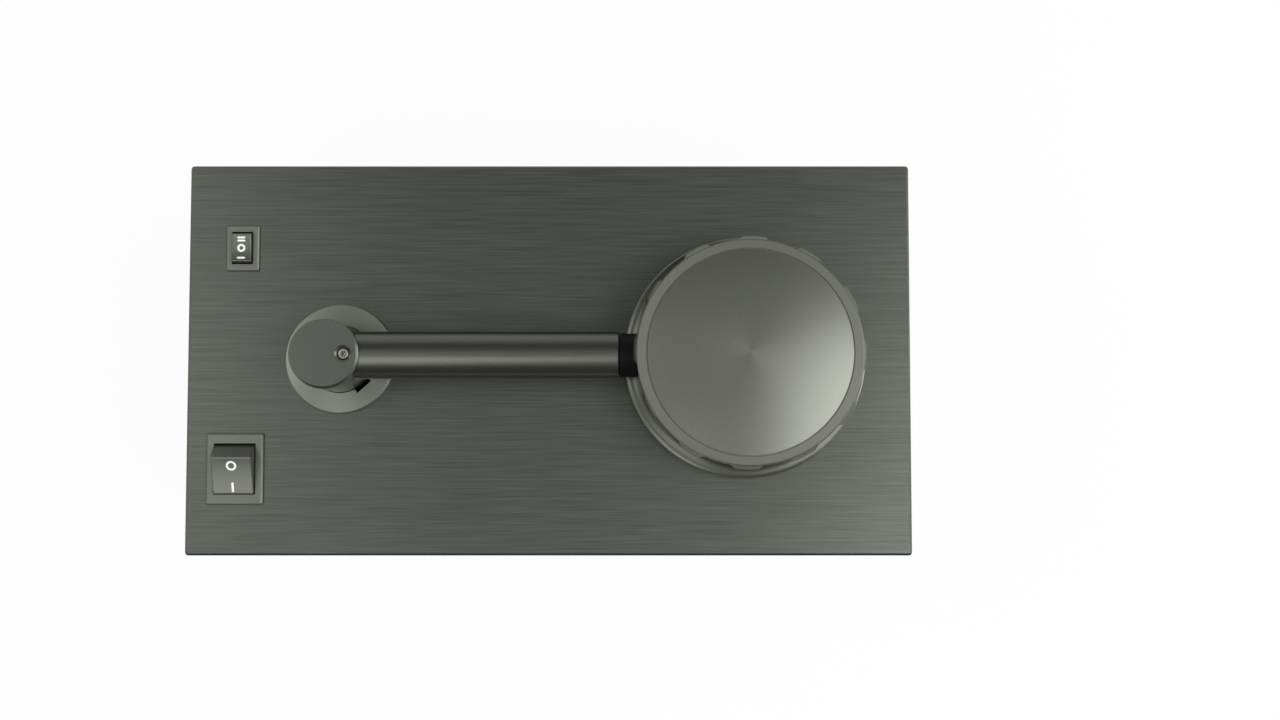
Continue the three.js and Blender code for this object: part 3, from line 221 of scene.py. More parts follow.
def shade(red, green, blue):
    """A colour given as on a screen, from 0 to 255, as the linear values that a shader takes."""
    return tuple((c / 255 / 12.92) if c < 11 else ((c / 255 + 0.055) / 1.055) ** 2.4
                 for c in (red, green, blue))


def lighter(colour, times):
    return tuple(min(1.0, c * times) for c in colour)


def grain(finish, size, place=None, stretch=(1, 1, 1), detail=2.0):
    """Noise whose patches are about size millimetres across, from 0 to 1."""
    scaled = finish.node("ShaderNodeMapping", None, Vector=place or finish.place(), Scale=stretch)
    return finish.node("ShaderNodeTexNoise", None, Vector=scaled, Scale=1000 / size, Detail=detail)


def relief(finish, height, depth):
    """A bump of depth millimetres."""
    return finish.node("ShaderNodeBump", None, Strength=1.0, Distance=depth * MM, Height=height)


def moulded(name, colour, roughness, size=0.5, depth=0.01, contrast=0.14, spread=0.14, **look):
    """One colour whose tone, gloss and surface vary with a fine grain and with broad soft patches."""
    finish = Finish(bpy.data.materials.new(name))
    fine = grain(finish, size)
    broad = grain(finish, size * 45)
    tone = fine * 0.6 + broad * 0.4
    return finish.wear(
        Base_Color=finish.mix(tone, lighter(colour, 1 - contrast), lighter(colour, 1 + contrast)),
        Roughness=(tone - 0.5) * spread + roughness, Normal=relief(finish, fine, depth), **look)


def brushed(name, colour, roughness, along, hair=0.55, depth=0.006, contrast=0.3, **look):
    """Sheet brushed in one direction: along is 0, 1 or 2 for lines that run along X, Y or Z."""
    finish = Finish(bpy.data.materials.new(name))
    stretch = [1.0, 1.0, 1.0]
    stretch[along] = 0.02       # a hair is fifty times as long as it is wide
    hairs = grain(finish, hair, stretch=stretch, detail=3.0)
    long_hairs = grain(finish, hair * 4, stretch=stretch, detail=2.0)
    broad = grain(finish, 60)
    tone = hairs * 0.5 + long_hairs * 0.3 + broad * 0.2
    return finish.wear(
        Base_Color=finish.mix(tone, lighter(colour, 1 - contrast), lighter(colour, 1 + contrast)),
        Roughness=(hairs - 0.5) * 0.25 + roughness, Normal=relief(finish, hairs, depth), **look)


def ended(name, shape, finish, body, slot, *nodes):
    """Turns a bmesh into a piece that wears a finish, rides on a body and stands for CAD nodes. Its
    curves are shaded round, and a flat face stays flat up to the edge of a narrow one beside it."""
    for face in shape.faces:
        face.smooth = True
    for edge in shape.edges:
        angle, areas = math.degrees(edge.calc_face_angle(0)), [f.calc_area() for f in edge.link_faces]
        edge.smooth = angle < SOFT or (angle < CREASE and max(areas) < NARROW * min(areas))
    mesh = bpy.data.meshes.new(name)
    shape.to_mesh(mesh)
    shape.free()
    mesh.materials.append(finish.owner)
    piece = bpy.data.objects.new(name, mesh)
    scene.collection.objects.link(piece)
    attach(piece, body)
    if nodes:
        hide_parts(*nodes)


def dressed(finish, *nodes):
    """CAD nodes that keep their own shape and get a finish."""
    for node in nodes:
        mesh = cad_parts[node].data
        mesh.materials.clear()
        mesh.materials.append(finish.owner)


def eased(shape, radius, segments=2, sharp=25, where=None):
    """Rounds the sharp edges of a shape, all of them or those that where picks."""
    edges = [e for e in shape.edges
             if e.calc_face_angle(0) > math.radians(sharp) and (where is None or where(e))]
    bmesh.ops.bevel(shape, geom=edges, offset=radius * MM, segments=segments, profile=0.5,
                    affect="EDGES", clamp_overlap=True, material=-1)
    return shape


def copied(node):
    """A CAD node's shape with its triangles joined and its flat faces whole again."""
    shape = bmesh.new()
    shape.from_mesh(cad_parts[node].data)
    bmesh.ops.remove_doubles(shape, verts=shape.verts, dist=MERGE * MM)
    bmesh.ops.dissolve_limit(shape, angle_limit=math.radians(1), verts=shape.verts, edges=shape.edges)
    return shape


def turned(profile, centre, steps=64, along=(0, 0, 1), out=(1, 0, 0)):
    """A turned shape. The profile's points are (radius, height) in millimetres from the centre."""
    shape = bmesh.new()
    middle, along, out = Vector(centre) * MM, Vector(along), Vector(out)
    line = [shape.verts.new(middle + out * r * MM + along * h * MM) for r, h in profile]
    edges = [shape.edges.new(pair) for pair in zip(line, line[1:])]
    bmesh.ops.spin(shape, geom=line + edges, cent=middle, axis=along, dvec=(0, 0, 0),
                   angle=math.tau, space=Matrix.Identity(4), steps=steps, use_merge=True,
                   use_normal_flip=False, use_duplicate=False)
    bmesh.ops.remove_doubles(shape, verts=shape.verts, dist=MERGE * MM)
    bmesh.ops.recalc_face_normals(shape, faces=shape.faces)
    return shape


anthracite = shade(90, 92, 87)
case_sides = brushed("brushed_sheet_sides", anthracite, 0.42, 0, Metallic=0.85)
case_ends = brushed("brushed_sheet_ends", anthracite, 0.42, 1, Metallic=0.85)
zinc = moulded("zinc_plated_steel", shade(168, 170, 172), 0.36, size=1.2, depth=0.006, Metallic=1.0)
rubber = moulded("foot_rubber", shade(34, 34, 34), 0.78, size=0.35, depth=0.02)

ended("bottom_plate_fine", eased(copied("bottom_plate"), 0.25), case_sides, "case", "panel",
      "bottom_plate")
FOOT_PLACES = {"rear_right": (149, 67.25), "rear_left": (-149, 67.25),
               "front_right": (149, -81.75), "front_left": (-149, -81.75)}
for place, (foot_x, foot_y) in FOOT_PLACES.items():
    dressed(zinc, f"corner_post_{place}")
    foot = turned([(0, 2.2), (3.2, 2.2), (3.6, 0), (9, 0), (10, 1), (11, 10), (2.8, 10), (2.8, 13.3),
                   (3.9, 13.3), (2.9, 15.3), (0, 15.3)], (foot_x, foot_y, 0))
    ended(f"foot_{place}_fine", eased(foot, 0.4), rubber, "case", "foot_rubber", f"foot_{place}")


# Side, front and rear panels: 3 mm aluminium sheet, brushed and anodised anthracite. Button-head
# screws hold the side and rear panels to the corner angles.
for side, finish in (("front", case_sides), ("rear", case_sides),
                     ("left", case_ends), ("right", case_ends)):
    ended(f"{side}_panel_fine", eased(copied(f"{side}_panel"), 0.25), finish, "case", "panel",
          f"{side}_panel")


def solid_object(shape):
    mesh = bpy.data.meshes.new("tool")
    shape.to_mesh(mesh)
    shape.free()
    thing = bpy.data.objects.new("tool", mesh)
    scene.collection.objects.link(thing)
    return thing


def carved(shape, *tools, way="DIFFERENCE"):
    """A shape with the tools' volumes cut out of it, or joined to it."""
    work, cutters = solid_object(shape), [solid_object(tool) for tool in tools]
    for cutter in cutters:
        step = work.modifiers.new("cut", "BOOLEAN")
        step.operation, step.solver, step.object = way, "EXACT", cutter
    bpy.context.view_layer.update()
    result = bmesh.new()
    result.from_object(work, bpy.context.evaluated_depsgraph_get())
    bmesh.ops.remove_doubles(result, verts=result.verts, dist=MERGE * MM)
    for thing in (work, *cutters):
        mesh = thing.data
        bpy.data.objects.remove(thing)
        bpy.data.meshes.remove(mesh)
    return result


ACROSS_CORNERS = 1.732          # a key's width over the radius of its hexagon's corners


def screw_head(radius, height, key):
    """A button-head screw on the origin, with its head up and a hexagon socket of that key."""
    head = turned([(0, -0.4), (radius, -0.4), (radius, 0.35 * height), (0.93 * radius, 0.65 * height),
                   (0.78 * radius, 0.88 * height), (0.58 * radius, height), (0, height)], (0, 0, 0), 40)
    corner, floor_height = key / ACROSS_CORNERS, 0.25 * height
    hexagon = turned([(0, floor_height), (corner, floor_height), (corner, height + 1), (0, height + 1)],
                     (0, 0, 0), 6)
    mesh = bpy.data.meshes.new("screw_head")
    carved(head, hexagon).to_mesh(mesh)
    return mesh


def gathered(template, places):
    """Like parts at their places, (point in millimetres, direction their heads point), in one mesh."""
    whole = bmesh.new()
    for place, direction in places:
        first = len(whole.verts)
        whole.from_mesh(template)
        whole.verts.ensure_lookup_table()
        turn = Vector(direction).to_track_quat("Z", "Y").to_matrix().to_4x4()
        bmesh.ops.transform(whole, matrix=Matrix.Translation(Vector(place) * MM) @ turn,
                            verts=whole.verts[first:])
    return whole


black_steel = moulded("blackened_steel", shade(52, 52, 54), 0.34, size=0.6, depth=0.004, Metallic=0.9)
panel_screw = screw_head(2.85, 1.65, 2.0)
END_FACE, REAR_FACE = 162.0, 80.25      # outer faces of the left and right panels, and of the rear one
SCREW_LEVELS, SCREW_YS, SCREW_XS = (23, 184), (69.25, -83.75), (151, -151)
for side, places in {
    "left": [((-END_FACE, y, z), (-1, 0, 0)) for y in SCREW_YS for z in SCREW_LEVELS],
    "right": [((END_FACE, y, z), (1, 0, 0)) for y in SCREW_YS for z in SCREW_LEVELS],
    "rear": [((x, REAR_FACE, z), (0, 1, 0)) for x in SCREW_XS for z in SCREW_LEVELS],
}.items():
    ended(f"panel_screws_{side}", gathered(panel_screw, places), black_steel, "case", "zinc_steel")


# Top plate: the same sheet, brushed along its length, with a milled chamfer round its upper edge
# that shows brighter metal, and openings for the arm, the bearing and the two rockers.
top_finish = Finish(bpy.data.materials.new("brushed_top_plate"))
spot = top_finish.place()
hairs = grain(top_finish, 0.4, spot, (0.014, 1, 1), 2.0)
strands = grain(top_finish, 0.9, spot, (0.02, 1, 1), 2.0)
clouds = grain(top_finish, 70, spot)
tone = hairs * 0.5 + strands * 0.35 + clouds * 0.15
plate_tone = top_finish.mix(top_finish.step(tone, 0.3, 0.7), shade(70, 73, 68), shade(85, 88, 82))
top_finish.wear(Base_Color=plate_tone, Metallic=0.85, Roughness=(hairs - 0.5) * 0.14 + 0.34,
                Normal=relief(top_finish, hairs, 0.004))
ended("top_plate_fine", eased(copied("top_plate"), 0.12), top_finish, "case", "panel", "top_plate")


# Rockers: black moulded snap-in switches. The small one has three places and is in the middle one;
# the large one is off, with its rear end up. Their marks are printed in white.
switch_black = moulded("switch_plastic", shade(71, 73, 69), 0.34, size=0.45, depth=0.012, contrast=0.1,
                       Specular_IOR_Level=1.0, Specular_Tint=(0.95, 0.98, 0.87))
rocker_black = moulded("rocker_plastic", shade(60, 62, 59), 0.3, size=0.4, depth=0.009, contrast=0.1,
                       Specular_IOR_Level=1.0, Specular_Tint=(0.95, 0.98, 0.87))
white_print = moulded("white_print", shade(242, 242, 238), 0.55, size=0.3, depth=0.004, contrast=0.03)
MARK_RISE = 0.05                # of the print above the rocker's face
MARK_ROOT = 0.12                # and below it


def block(low, high, corner=0, upright=2):
    """A box between two corners in millimetres, its edges along one axis rounded."""
    shape = bmesh.new()
    low, high = Vector(low) * MM, Vector(high) * MM
    bmesh.ops.create_cube(shape, size=1, matrix=Matrix.Translation((low + high) / 2)
                          @ Matrix.Diagonal((*(high - low), 1)))
    if corner:
        edges = [e for e in shape.edges
                 if abs((e.verts[1].co - e.verts[0].co).normalized()[upright]) > 0.9]
        bmesh.ops.bevel(shape, geom=edges, offset=corner * MM, segments=5, profile=0.5,
                        affect="EDGES", clamp_overlap=True, material=-1)
    return shape


def rocker_face(y, crest, valley):
    """Height of a rocker's hollow face over its pivot."""
    return valley + (crest[1] - valley) * (y / crest[0]) ** 2


def rocker_shape(half_width, radius, crest, valley, trunnion, opening):
    """A rocker before it is tilted: a hollow face between two crests over a round belly, about its
    pivot. A crest is given by its distance and height from that, the face's middle by its height."""
    shape = bmesh.new()
    rim = [(crest[0] * (1 - i / 10), rocker_face(crest[0] * (1 - i / 10), crest, valley))
           for i in range(21)]
    rim += [(-radius * math.cos(math.radians(a)), radius * math.sin(math.radians(a)))
            for a in range(10, -41, -5)]
    rim += [(radius * math.cos(math.radians(a)), radius * math.sin(math.radians(a)))
            for a in range(-40, 11, 5)]
    side = shape.faces.new([shape.verts.new((-half_width * MM, y * MM, z * MM)) for y, z in rim])
    grown = bmesh.ops.extrude_face_region(shape, geom=[side])["geom"]
    bmesh.ops.translate(shape, vec=(2 * half_width * MM, 0, 0),
                        verts=[g for g in grown if isinstance(g, bmesh.types.BMVert)])
    bmesh.ops.recalc_face_normals(shape, faces=shape.faces)
    eased(shape, 0.45, 3, 20)
    pin = turned([(0, -opening / 2 - 1), (trunnion, -opening / 2 - 1), (trunnion, opening / 2 + 1),
                  (0, opening / 2 + 1)], (0, 0, 0), 24, (1, 0, 0), (0, 0, 1))
    return carved(shape, pin, way="UNION")


def ring_mark(y, outer, stroke):
    inner = outer - stroke
    return turned([(inner, 0), (outer, 0), (outer, 1), (inner, 1), (inner, 0)], (0, y, 0), 40)


def bar_mark(y, width, length):
    bar = block((-width / 2, y - length / 2, 0), (width / 2, y + length / 2, 1), 0.25)
    bmesh.ops.subdivide_edges(bar, cuts=4, edges=[
        e for e in bar.edges if abs(e.verts[0].co.y - e.verts[1].co.y) > 0.7 * length * MM])
    return bar


def pressed_on(marks, crest, valley):
    """Prints marks onto the rocker's face: each follows its curve."""
    whole = bmesh.new()
    for mark in marks:
        for vert in mark.verts:
            share = -MARK_ROOT if vert.co.z < 0.5 * MM else MARK_RISE
            vert.co.z = (rocker_face(vert.co.y / MM, crest, valley) + share) * MM
        mesh = bpy.data.meshes.new("mark")
        mark.to_mesh(mesh)
        mark.free()
        whole.from_mesh(mesh)
        bpy.data.meshes.remove(mesh)
    return whole


def tilted(shape, place, degrees):
    """Puts a rocker or its marks on the pivot."""
    turn = Matrix.Translation(Vector(place) * MM) @ Matrix.Rotation(math.radians(degrees), 4, "X")
    bmesh.ops.transform(shape, matrix=turn, verts=shape.verts)
    return shape


SMALL_PIVOT, SMALL_CREST, SMALL_VALLEY, SMALL_TILT = (-137.8, 50 + SHIFT, 198.8), (6.25, 5.4), 4.7, 0
LARGE_PIVOT, LARGE_CREST, LARGE_VALLEY, LARGE_TILT = (-139.9, -49 + SHIFT, 198.4), (8.75, 8.3), 7.8, 21
ended("drive_switch_bezel", eased(copied("drive_switch_body"), 0.15), switch_black, "case",
      "switch_plastic", "drive_switch_body")
small_rocker = rocker_shape(half_width=4.4, radius=6.95, crest=SMALL_CREST, valley=SMALL_VALLEY,
                            trunnion=1.1, opening=9.4)
ended("drive_rocker_fine", tilted(small_rocker, SMALL_PIVOT, SMALL_TILT), rocker_black, "drive_switch",
      "switch_plastic", "drive_rocker")
small_bar = {"width": 3.5, "length": 0.85}
small_marks = [bar_mark(4.45, **small_bar), bar_mark(3.1, **small_bar),
               ring_mark(-0.2, outer=1.8, stroke=0.92), bar_mark(-4.65, **small_bar)]
ended("drive_rocker_marks", tilted(pressed_on(small_marks, SMALL_CREST, SMALL_VALLEY), SMALL_PIVOT,
                                   SMALL_TILT), white_print, "drive_switch", "switch_plastic")
ended("vacuum_switch_bezel", eased(copied("vacuum_switch_body"), 0.18), switch_black, "case",
      "switch_plastic", "vacuum_switch_body")
large_rocker = rocker_shape(half_width=9.0, radius=11.0, crest=LARGE_CREST, valley=LARGE_VALLEY,
                            trunnion=1.5, opening=18.6)
ended("vacuum_rocker_fine", tilted(large_rocker, LARGE_PIVOT, LARGE_TILT), rocker_black,
      "vacuum_switch", "switch_plastic", "vacuum_rocker")
large_marks = [ring_mark(4.6, outer=2.3, stroke=0.92), bar_mark(-5.6, width=1.0, length=4.4)]
ended("vacuum_rocker_marks", tilted(pressed_on(large_marks, LARGE_CREST, LARGE_VALLEY), LARGE_PIVOT,
                                    LARGE_TILT), white_print, "vacuum_switch", "switch_plastic")


# Rear fittings: a mains inlet with three nickelled pins, a moulded exhaust grille, and the tube that
# shows the level in the tank and drains it, held in a clip over its elbow and shut by a stopper.
inlet_black = moulded("black_moulding", shade(38, 39, 39), 0.42, size=0.5, depth=0.012, contrast=0.16)
nickel = moulded("nickel", shade(172, 171, 165), 0.22, size=0.8, depth=0.003, contrast=0.06, Metallic=1.0)
ended("mains_inlet_fine", eased(copied("mains_inlet"), 0.25), inlet_black, "case", "black_plastic",
      "mains_inlet")
INLET_X, INLET_Z = 20.0, 45.0
PIN_HALF_WIDTH, PIN_HALF_HEIGHT, PIN_ROOT, PIN_TIP = 1.08, 2.08, 12.1, 1.4
for name, x, z in (("left", -7, -2), ("middle", 0, 2), ("right", 7, -2)):
    pin = eased(block((INLET_X + x - PIN_HALF_WIDTH, REAR_FACE - PIN_ROOT, INLET_Z + z - PIN_HALF_HEIGHT),
                      (INLET_X + x + PIN_HALF_WIDTH, REAR_FACE - PIN_TIP, INLET_Z + z + PIN_HALF_HEIGHT)),
                0.45, 3)
    ended(f"inlet_pin_{name}", pin, nickel, "case", "zinc_steel")
small_screw = screw_head(2.5, 1.3, 1.7)
ended("inlet_screws", gathered(small_screw, [((INLET_X + x, REAR_FACE + 3, INLET_Z), (0, 1, 0))
                                             for x in (-19, 19)]), black_steel, "case", "zinc_steel")
ended("exhaust_grille_fine", eased(copied("exhaust_grille"), 0.25), inlet_black, "case",
      "black_plastic", "exhaust_grille")
GRILLE_X, GRILLE_Z = 124.0, 88.3
ended("grille_screws", gathered(small_screw, [((GRILLE_X + x, REAR_FACE + 2, GRILLE_Z + z), (0, 1, 0))
                                              for x in (-16, 16) for z in (-15, 15)]),
      black_steel, "case", "zinc_steel")

DRAIN_X, DRAIN_Z, LEVEL_Y, BEND = -130.0, 24.0, 88.25, 4


def swept(radius, points, steps=24):
    """A round bar along a line of points in millimetres, in the plane of Y and Z."""
    shape = bmesh.new()
    rings = []
    for i, point in enumerate(points):
        before, after = Vector(points[max(i - 1, 0)]), Vector(points[min(i + 1, len(points) - 1)])
        turn = (after - before).to_track_quat("Z", "X").to_matrix().to_4x4()
        made = bmesh.ops.create_circle(shape, cap_ends=False, segments=steps, radius=radius * MM,
                                       matrix=Matrix.Translation(Vector(point) * MM) @ turn)
        rings.append(made["verts"])
    for first, second in zip(rings, rings[1:]):
        loops = [e for e in shape.edges if e.verts[0] in first and e.verts[1] in first]
        loops += [e for e in shape.edges if e.verts[0] in second and e.verts[1] in second]
        bmesh.ops.bridge_loops(shape, edges=loops)
    bmesh.ops.holes_fill(shape, edges=[e for e in shape.edges if e.is_boundary], sides=0)
    bmesh.ops.recalc_face_normals(shape, faces=shape.faces)
    return shape


bend = [(DRAIN_X, LEVEL_Y - BEND * (1 - math.sin(math.radians(a))),
         DRAIN_Z + BEND * (1 - math.cos(math.radians(a)))) for a in range(0, 91, 15)]
pipe = swept(4, [(DRAIN_X, 67.5, DRAIN_Z), (DRAIN_X, 76, DRAIN_Z), *bend, (DRAIN_X, LEVEL_Y, DRAIN_Z + 5)])
barb = turned([(0, 3), (3.2, 3), (3.2, 12), (3.5, 12.4), (3.1, 14.6), (3.5, 15), (3.1, 17.2), (3.5, 17.6),
               (2.9, 21.8), (2.2, 22), (2.2, 6), (0, 6)], (DRAIN_X, LEVEL_Y, DRAIN_Z), 32)
collar = eased(turned([(0, 0), (8, 0), (8, 2.5), (0, 2.5)], (DRAIN_X, REAR_FACE, DRAIN_Z), 6, (0, 1, 0),
                      (1, 0, 0)), 0.4)
ended("drain_elbow_fine", carved(pipe, barb, collar, way="UNION"), inlet_black, "case", "black_plastic",
      "drain_elbow")

clear = moulded("clear_tube", shade(226, 232, 230), 0.16, size=3, depth=0.004, contrast=0.03, spread=0.08,
                Transmission_Weight=0.85, IOR=1.42)
level = turned([(3.6, 30), (5, 30), (5, 118), (3.6, 118), (3.6, 30)], (DRAIN_X, LEVEL_Y, 0), 40)
ended("level_tube_fine", eased(level, 0.25), clear, "case", "clear_tube", "level_tube")

clip = bmesh.new()
CLIP_LOW, CLIP_HIGH, CLIP_INSIDE, CLIP_OUTSIDE = 102, 110, 5.3, 7.3
CLIP_OPEN = 100                 # degrees of its ring that are left open, at the rear
start = math.radians(90 + CLIP_OPEN / 2)
arm_of_clip = [clip.verts.new(((DRAIN_X + r * math.cos(start)) * MM,
                               (LEVEL_Y + r * math.sin(start)) * MM, z * MM))
               for r, z in ((CLIP_INSIDE, CLIP_LOW), (CLIP_OUTSIDE, CLIP_LOW),
                            (CLIP_OUTSIDE, CLIP_HIGH), (CLIP_INSIDE, CLIP_HIGH))]
loop = [clip.edges.new((arm_of_clip[i], arm_of_clip[(i + 1) % 4])) for i in range(4)]
bmesh.ops.spin(clip, geom=arm_of_clip + loop, cent=(DRAIN_X * MM, LEVEL_Y * MM, 0), axis=(0, 0, 1),
               dvec=(0, 0, 0), angle=math.radians(360 - CLIP_OPEN), space=Matrix.Identity(4), steps=40,
               use_merge=False, use_normal_flip=False, use_duplicate=False)
bmesh.ops.holes_fill(clip, edges=[e for e in clip.edges if e.is_boundary], sides=0)
bmesh.ops.recalc_face_normals(clip, faces=clip.faces)
foot_of_clip = block((DRAIN_X - 6, REAR_FACE, CLIP_LOW), (DRAIN_X + 6, LEVEL_Y - 5.7, CLIP_HIGH), 0.8, 1)
ended("tube_clip_fine", carved(eased(clip, 0.35), foot_of_clip, way="UNION"), inlet_black, "case",
      "black_plastic", "tube_clip")

stopper = turned([(0, 108), (2.7, 108), (3.3, 109), (3.3, 118.3), (6.5, 118.3), (6.4, 119.3), (5.7, 123.6),
                  (5.2, 124.3), (0, 124.3)], (DRAIN_X, LEVEL_Y, 0), 48)
ended("tube_stopper_fine", eased(stopper, 0.35), rubber, "stopper", "foot_rubber", "tube_stopper")


# Bearing and platter: a steel spindle in a flanged bearing under its ring nut, and a turned black
# aluminium platter with a thin rubber mat. The clamp covers both.
PLATTER = (86.9, SHIFT)


def machined(name, colour, centre, roughness, groove=0.5, depth=0.005, contrast=0.1, painted_shade=None,
             rim=None, **look):
    """Metal turned about an upright axis: fine rings round it, and a soft grain. painted_shade gives a
    radius, a height and a share: the colour is painted that much darker, as shade, inside the one and below
    the other. rim gives the same for what lies outside the one and above the other, and how much rougher
    that is."""
    finish = Finish(bpy.data.materials.new(name))
    spot = finish.node("ShaderNodeMapping", None, Vector=finish.place(),
                       Location=(-centre[0] * MM, -centre[1] * MM, 0))
    axes = finish.node("ShaderNodeSeparateXYZ", None, spot)
    radius = (axes["X"] * axes["X"] + axes["Y"] * axes["Y"]) ** 0.5
    rings = finish.node("ShaderNodeTexNoise", {"noise_dimensions": "1D"}, W=radius * (1000 / groove),
                        Scale=1.0, Detail=3.0)
    fine = grain(finish, 0.4, spot)
    tone = rings * 0.35 + fine * 0.65
    skin = finish.mix(tone, lighter(colour, 1 - contrast), lighter(colour, 1 + contrast))
    # Painted shade: the colour goes darker in a recess, where shade falls.
    if painted_shade:
        reach, height, share = painted_shade
        within = finish.step(radius, reach * MM, (reach + 0.4) * MM, share, 0.0)
        below = finish.step(axes["Z"], height * MM, (height + 6) * MM, 1.0, 0.0)
        skin = finish.mix(within * below, skin, (0, 0, 0))
    if rim:
        reach, height, share, rougher = rim
        above = finish.step(axes["Z"], (height - 0.3) * MM, height * MM)
        beyond = above * finish.step(radius, (reach - 0.1) * MM, reach * MM)
        skin = finish.mix(beyond * share, skin, (0, 0, 0))
        roughness = beyond * rougher + roughness
    return finish.wear(Base_Color=skin, Roughness=(tone - 0.5) * 0.16 + roughness,
                       Normal=relief(finish, tone, depth), **look)


platter_black = machined("turned_black_platter", shade(58, 59, 57), PLATTER, 0.36, Metallic=0.9)
platter_shape = turned([(3.9, 206.3), (9.3, 206.3), (9.3, 204.5), (51, 204.5), (52, 205.5), (52, 209.4),
                        (51.4, 210), (3.9, 210), (3.9, 206.3)], (*PLATTER, 0), 144)
ended("platter_fine", eased(platter_shape, 0.12), platter_black, "platter", "black_alloy", "platter")
mat = eased(turned([(20, 210), (50, 210), (50, 212), (20, 212), (20, 210)], (*PLATTER, 0), 120), 0.4)
ended("platter_mat_fine", mat, rubber, "platter", "foot_rubber", "platter_mat")
nut = eased(turned([(11.5, 200), (17, 200), (17, 202.8), (11.5, 202.8), (11.5, 200)], (*PLATTER, 0), 72),
            0.4)
ended("bearing_nut_fine", nut, zinc, "case", "zinc_steel", "bearing_nut")


# Clamp: turned from aluminium and satin anodised grey, with a thin flange, a sweep up to a waist, a
# gripping rim with twelve lands, and a low dome inside a fine groove. The rim's top is less glossy.
# Painted shade darkens the sweep and the flange under the rim.
CLAMP_BASE = 212
SWEEP_WIDTH, SWEEP_RISE, SWEEP_STEPS = 7.4, 6.4, 12
RIM_RADIUS, RIM_TOP = 47.7, 39.0
LANDS, LAND_TURN, LAND_HALF, LAND_RAMP = 12, -2, 5.5, 2.5       # the last three in degrees
LAND_RISE, LAND_INSIDE, LAND_LOW, LAND_HIGH = 1.2, 46, 27, 38
DOME_RADIUS, DOME_RISE, DOME_STEPS, GROOVE_WIDTH, GROOVE_DEPTH = 43.0, 2.2, 14, 0.6, 0.8
COVE_PAINTED_SHADE = (51.8, 222, 0.5)            # radius, height and how much darker: painted shade under the rim
RIM_MATTER = (43.5, 250.6, 0.1, 0.16)   # radius, height, how much darker and how much rougher

clamp_profile = [(0, 19.1), (8.3, 19.1), (8.3, 1.7), (40, 1.7), (40, 0.5), (43.7, 0.5), (43.7, 1.5),
                 (50.3, 1.5), (50.3, 0.5), (52.9, 0.5), (52.9, 1.9)]
for i in range(SWEEP_STEPS + 1):
    sweep = math.radians(i * 90 / SWEEP_STEPS)
    clamp_profile.append((52.0 - SWEEP_WIDTH * math.sin(sweep), 2.6 + SWEEP_RISE * (1 - math.cos(sweep))))
clamp_profile += [(44.6, 28), (46.5, 28), (RIM_RADIUS, 29.2), (RIM_RADIUS, 37.2), (47.69, 38.2),
                  (47.5, 38.7), (47.0, RIM_TOP), (DOME_RADIUS + GROOVE_WIDTH, RIM_TOP),
                  (DOME_RADIUS + GROOVE_WIDTH, RIM_TOP - GROOVE_DEPTH),
                  (DOME_RADIUS, RIM_TOP - GROOVE_DEPTH)]
for i in range(DOME_STEPS, -1, -1):
    r = DOME_RADIUS * i / DOME_STEPS
    clamp_profile.append((r, RIM_TOP + DOME_RISE * (1 - (i / DOME_STEPS) ** 2)))
clamp_shape = turned(clamp_profile, (*PLATTER, CLAMP_BASE), 360)
axis = Vector((*PLATTER, 0)) * MM
pitch = 360 / LANDS
for vert in clamp_shape.verts:
    flat = Vector((vert.co.x - axis.x, vert.co.y - axis.y, 0))
    if flat.length > LAND_INSIDE * MM and LAND_LOW < vert.co.z / MM - CLAMP_BASE < LAND_HIGH:
        angle = math.degrees(math.atan2(flat.y, flat.x))
        away = abs((angle - LAND_TURN + pitch / 2) % pitch - pitch / 2)
        rise = min(1.0, max(0.0, (LAND_HALF + LAND_RAMP - away) / LAND_RAMP))
        vert.co += flat.normalized() * LAND_RISE * rise * MM
clamp_grey = machined("turned_satin_grey", shade(105, 107, 100), PLATTER, 0.3, groove=0.3, depth=0.0025,
                      contrast=0.07, painted_shade=COVE_PAINTED_SHADE, rim=RIM_MATTER, Metallic=0.9, Anisotropic=0.3,
                      Anisotropic_Rotation=0.25)
ended("clamp_body_fine", clamp_shape, clamp_grey, "clamp", "satin_alloy", "clamp_body")
seal = eased(turned([(44, 212), (50, 212), (50, 213.2), (44, 213.2), (44, 212)], (*PLATTER, 0), 96), 0.3)
ended("clamp_seal_fine", seal, rubber, "clamp", "foot_rubber", "clamp_seal")


# Arm's bearing: a turned grey flange with its sleeve through the top plate. A keyway in its bore lets
# the post's guide pin in. The post is black anodised, turns and sinks in the sleeve on a spring.
ARM = (-93.5, SHIFT)
BORE, KEY_HALF, KEY_FLOOR, KEY_ANGLE = 15.2, 4.0, 16.7, -48

flange = turned([(8.5, 144), (11, 144), (11, 154), (19.5, 154), (19.5, 200), (24.5, 200), (24.5, 201.4),
                 (23.9, 202), (BORE, 202), (BORE, 183), (17, 183), (17, 156), (8.5, 156), (8.5, 144)],
                (*ARM, 0), 144,
                out=(math.cos(math.radians(KEY_ANGLE)), math.sin(math.radians(KEY_ANGLE)), 0))
axis = Vector((*ARM, 0)) * MM
wall_in = math.degrees(math.asin(KEY_HALF / BORE))
key_corner = math.hypot(KEY_HALF, KEY_FLOOR)
wall_out = math.degrees(math.asin(KEY_HALF / key_corner))
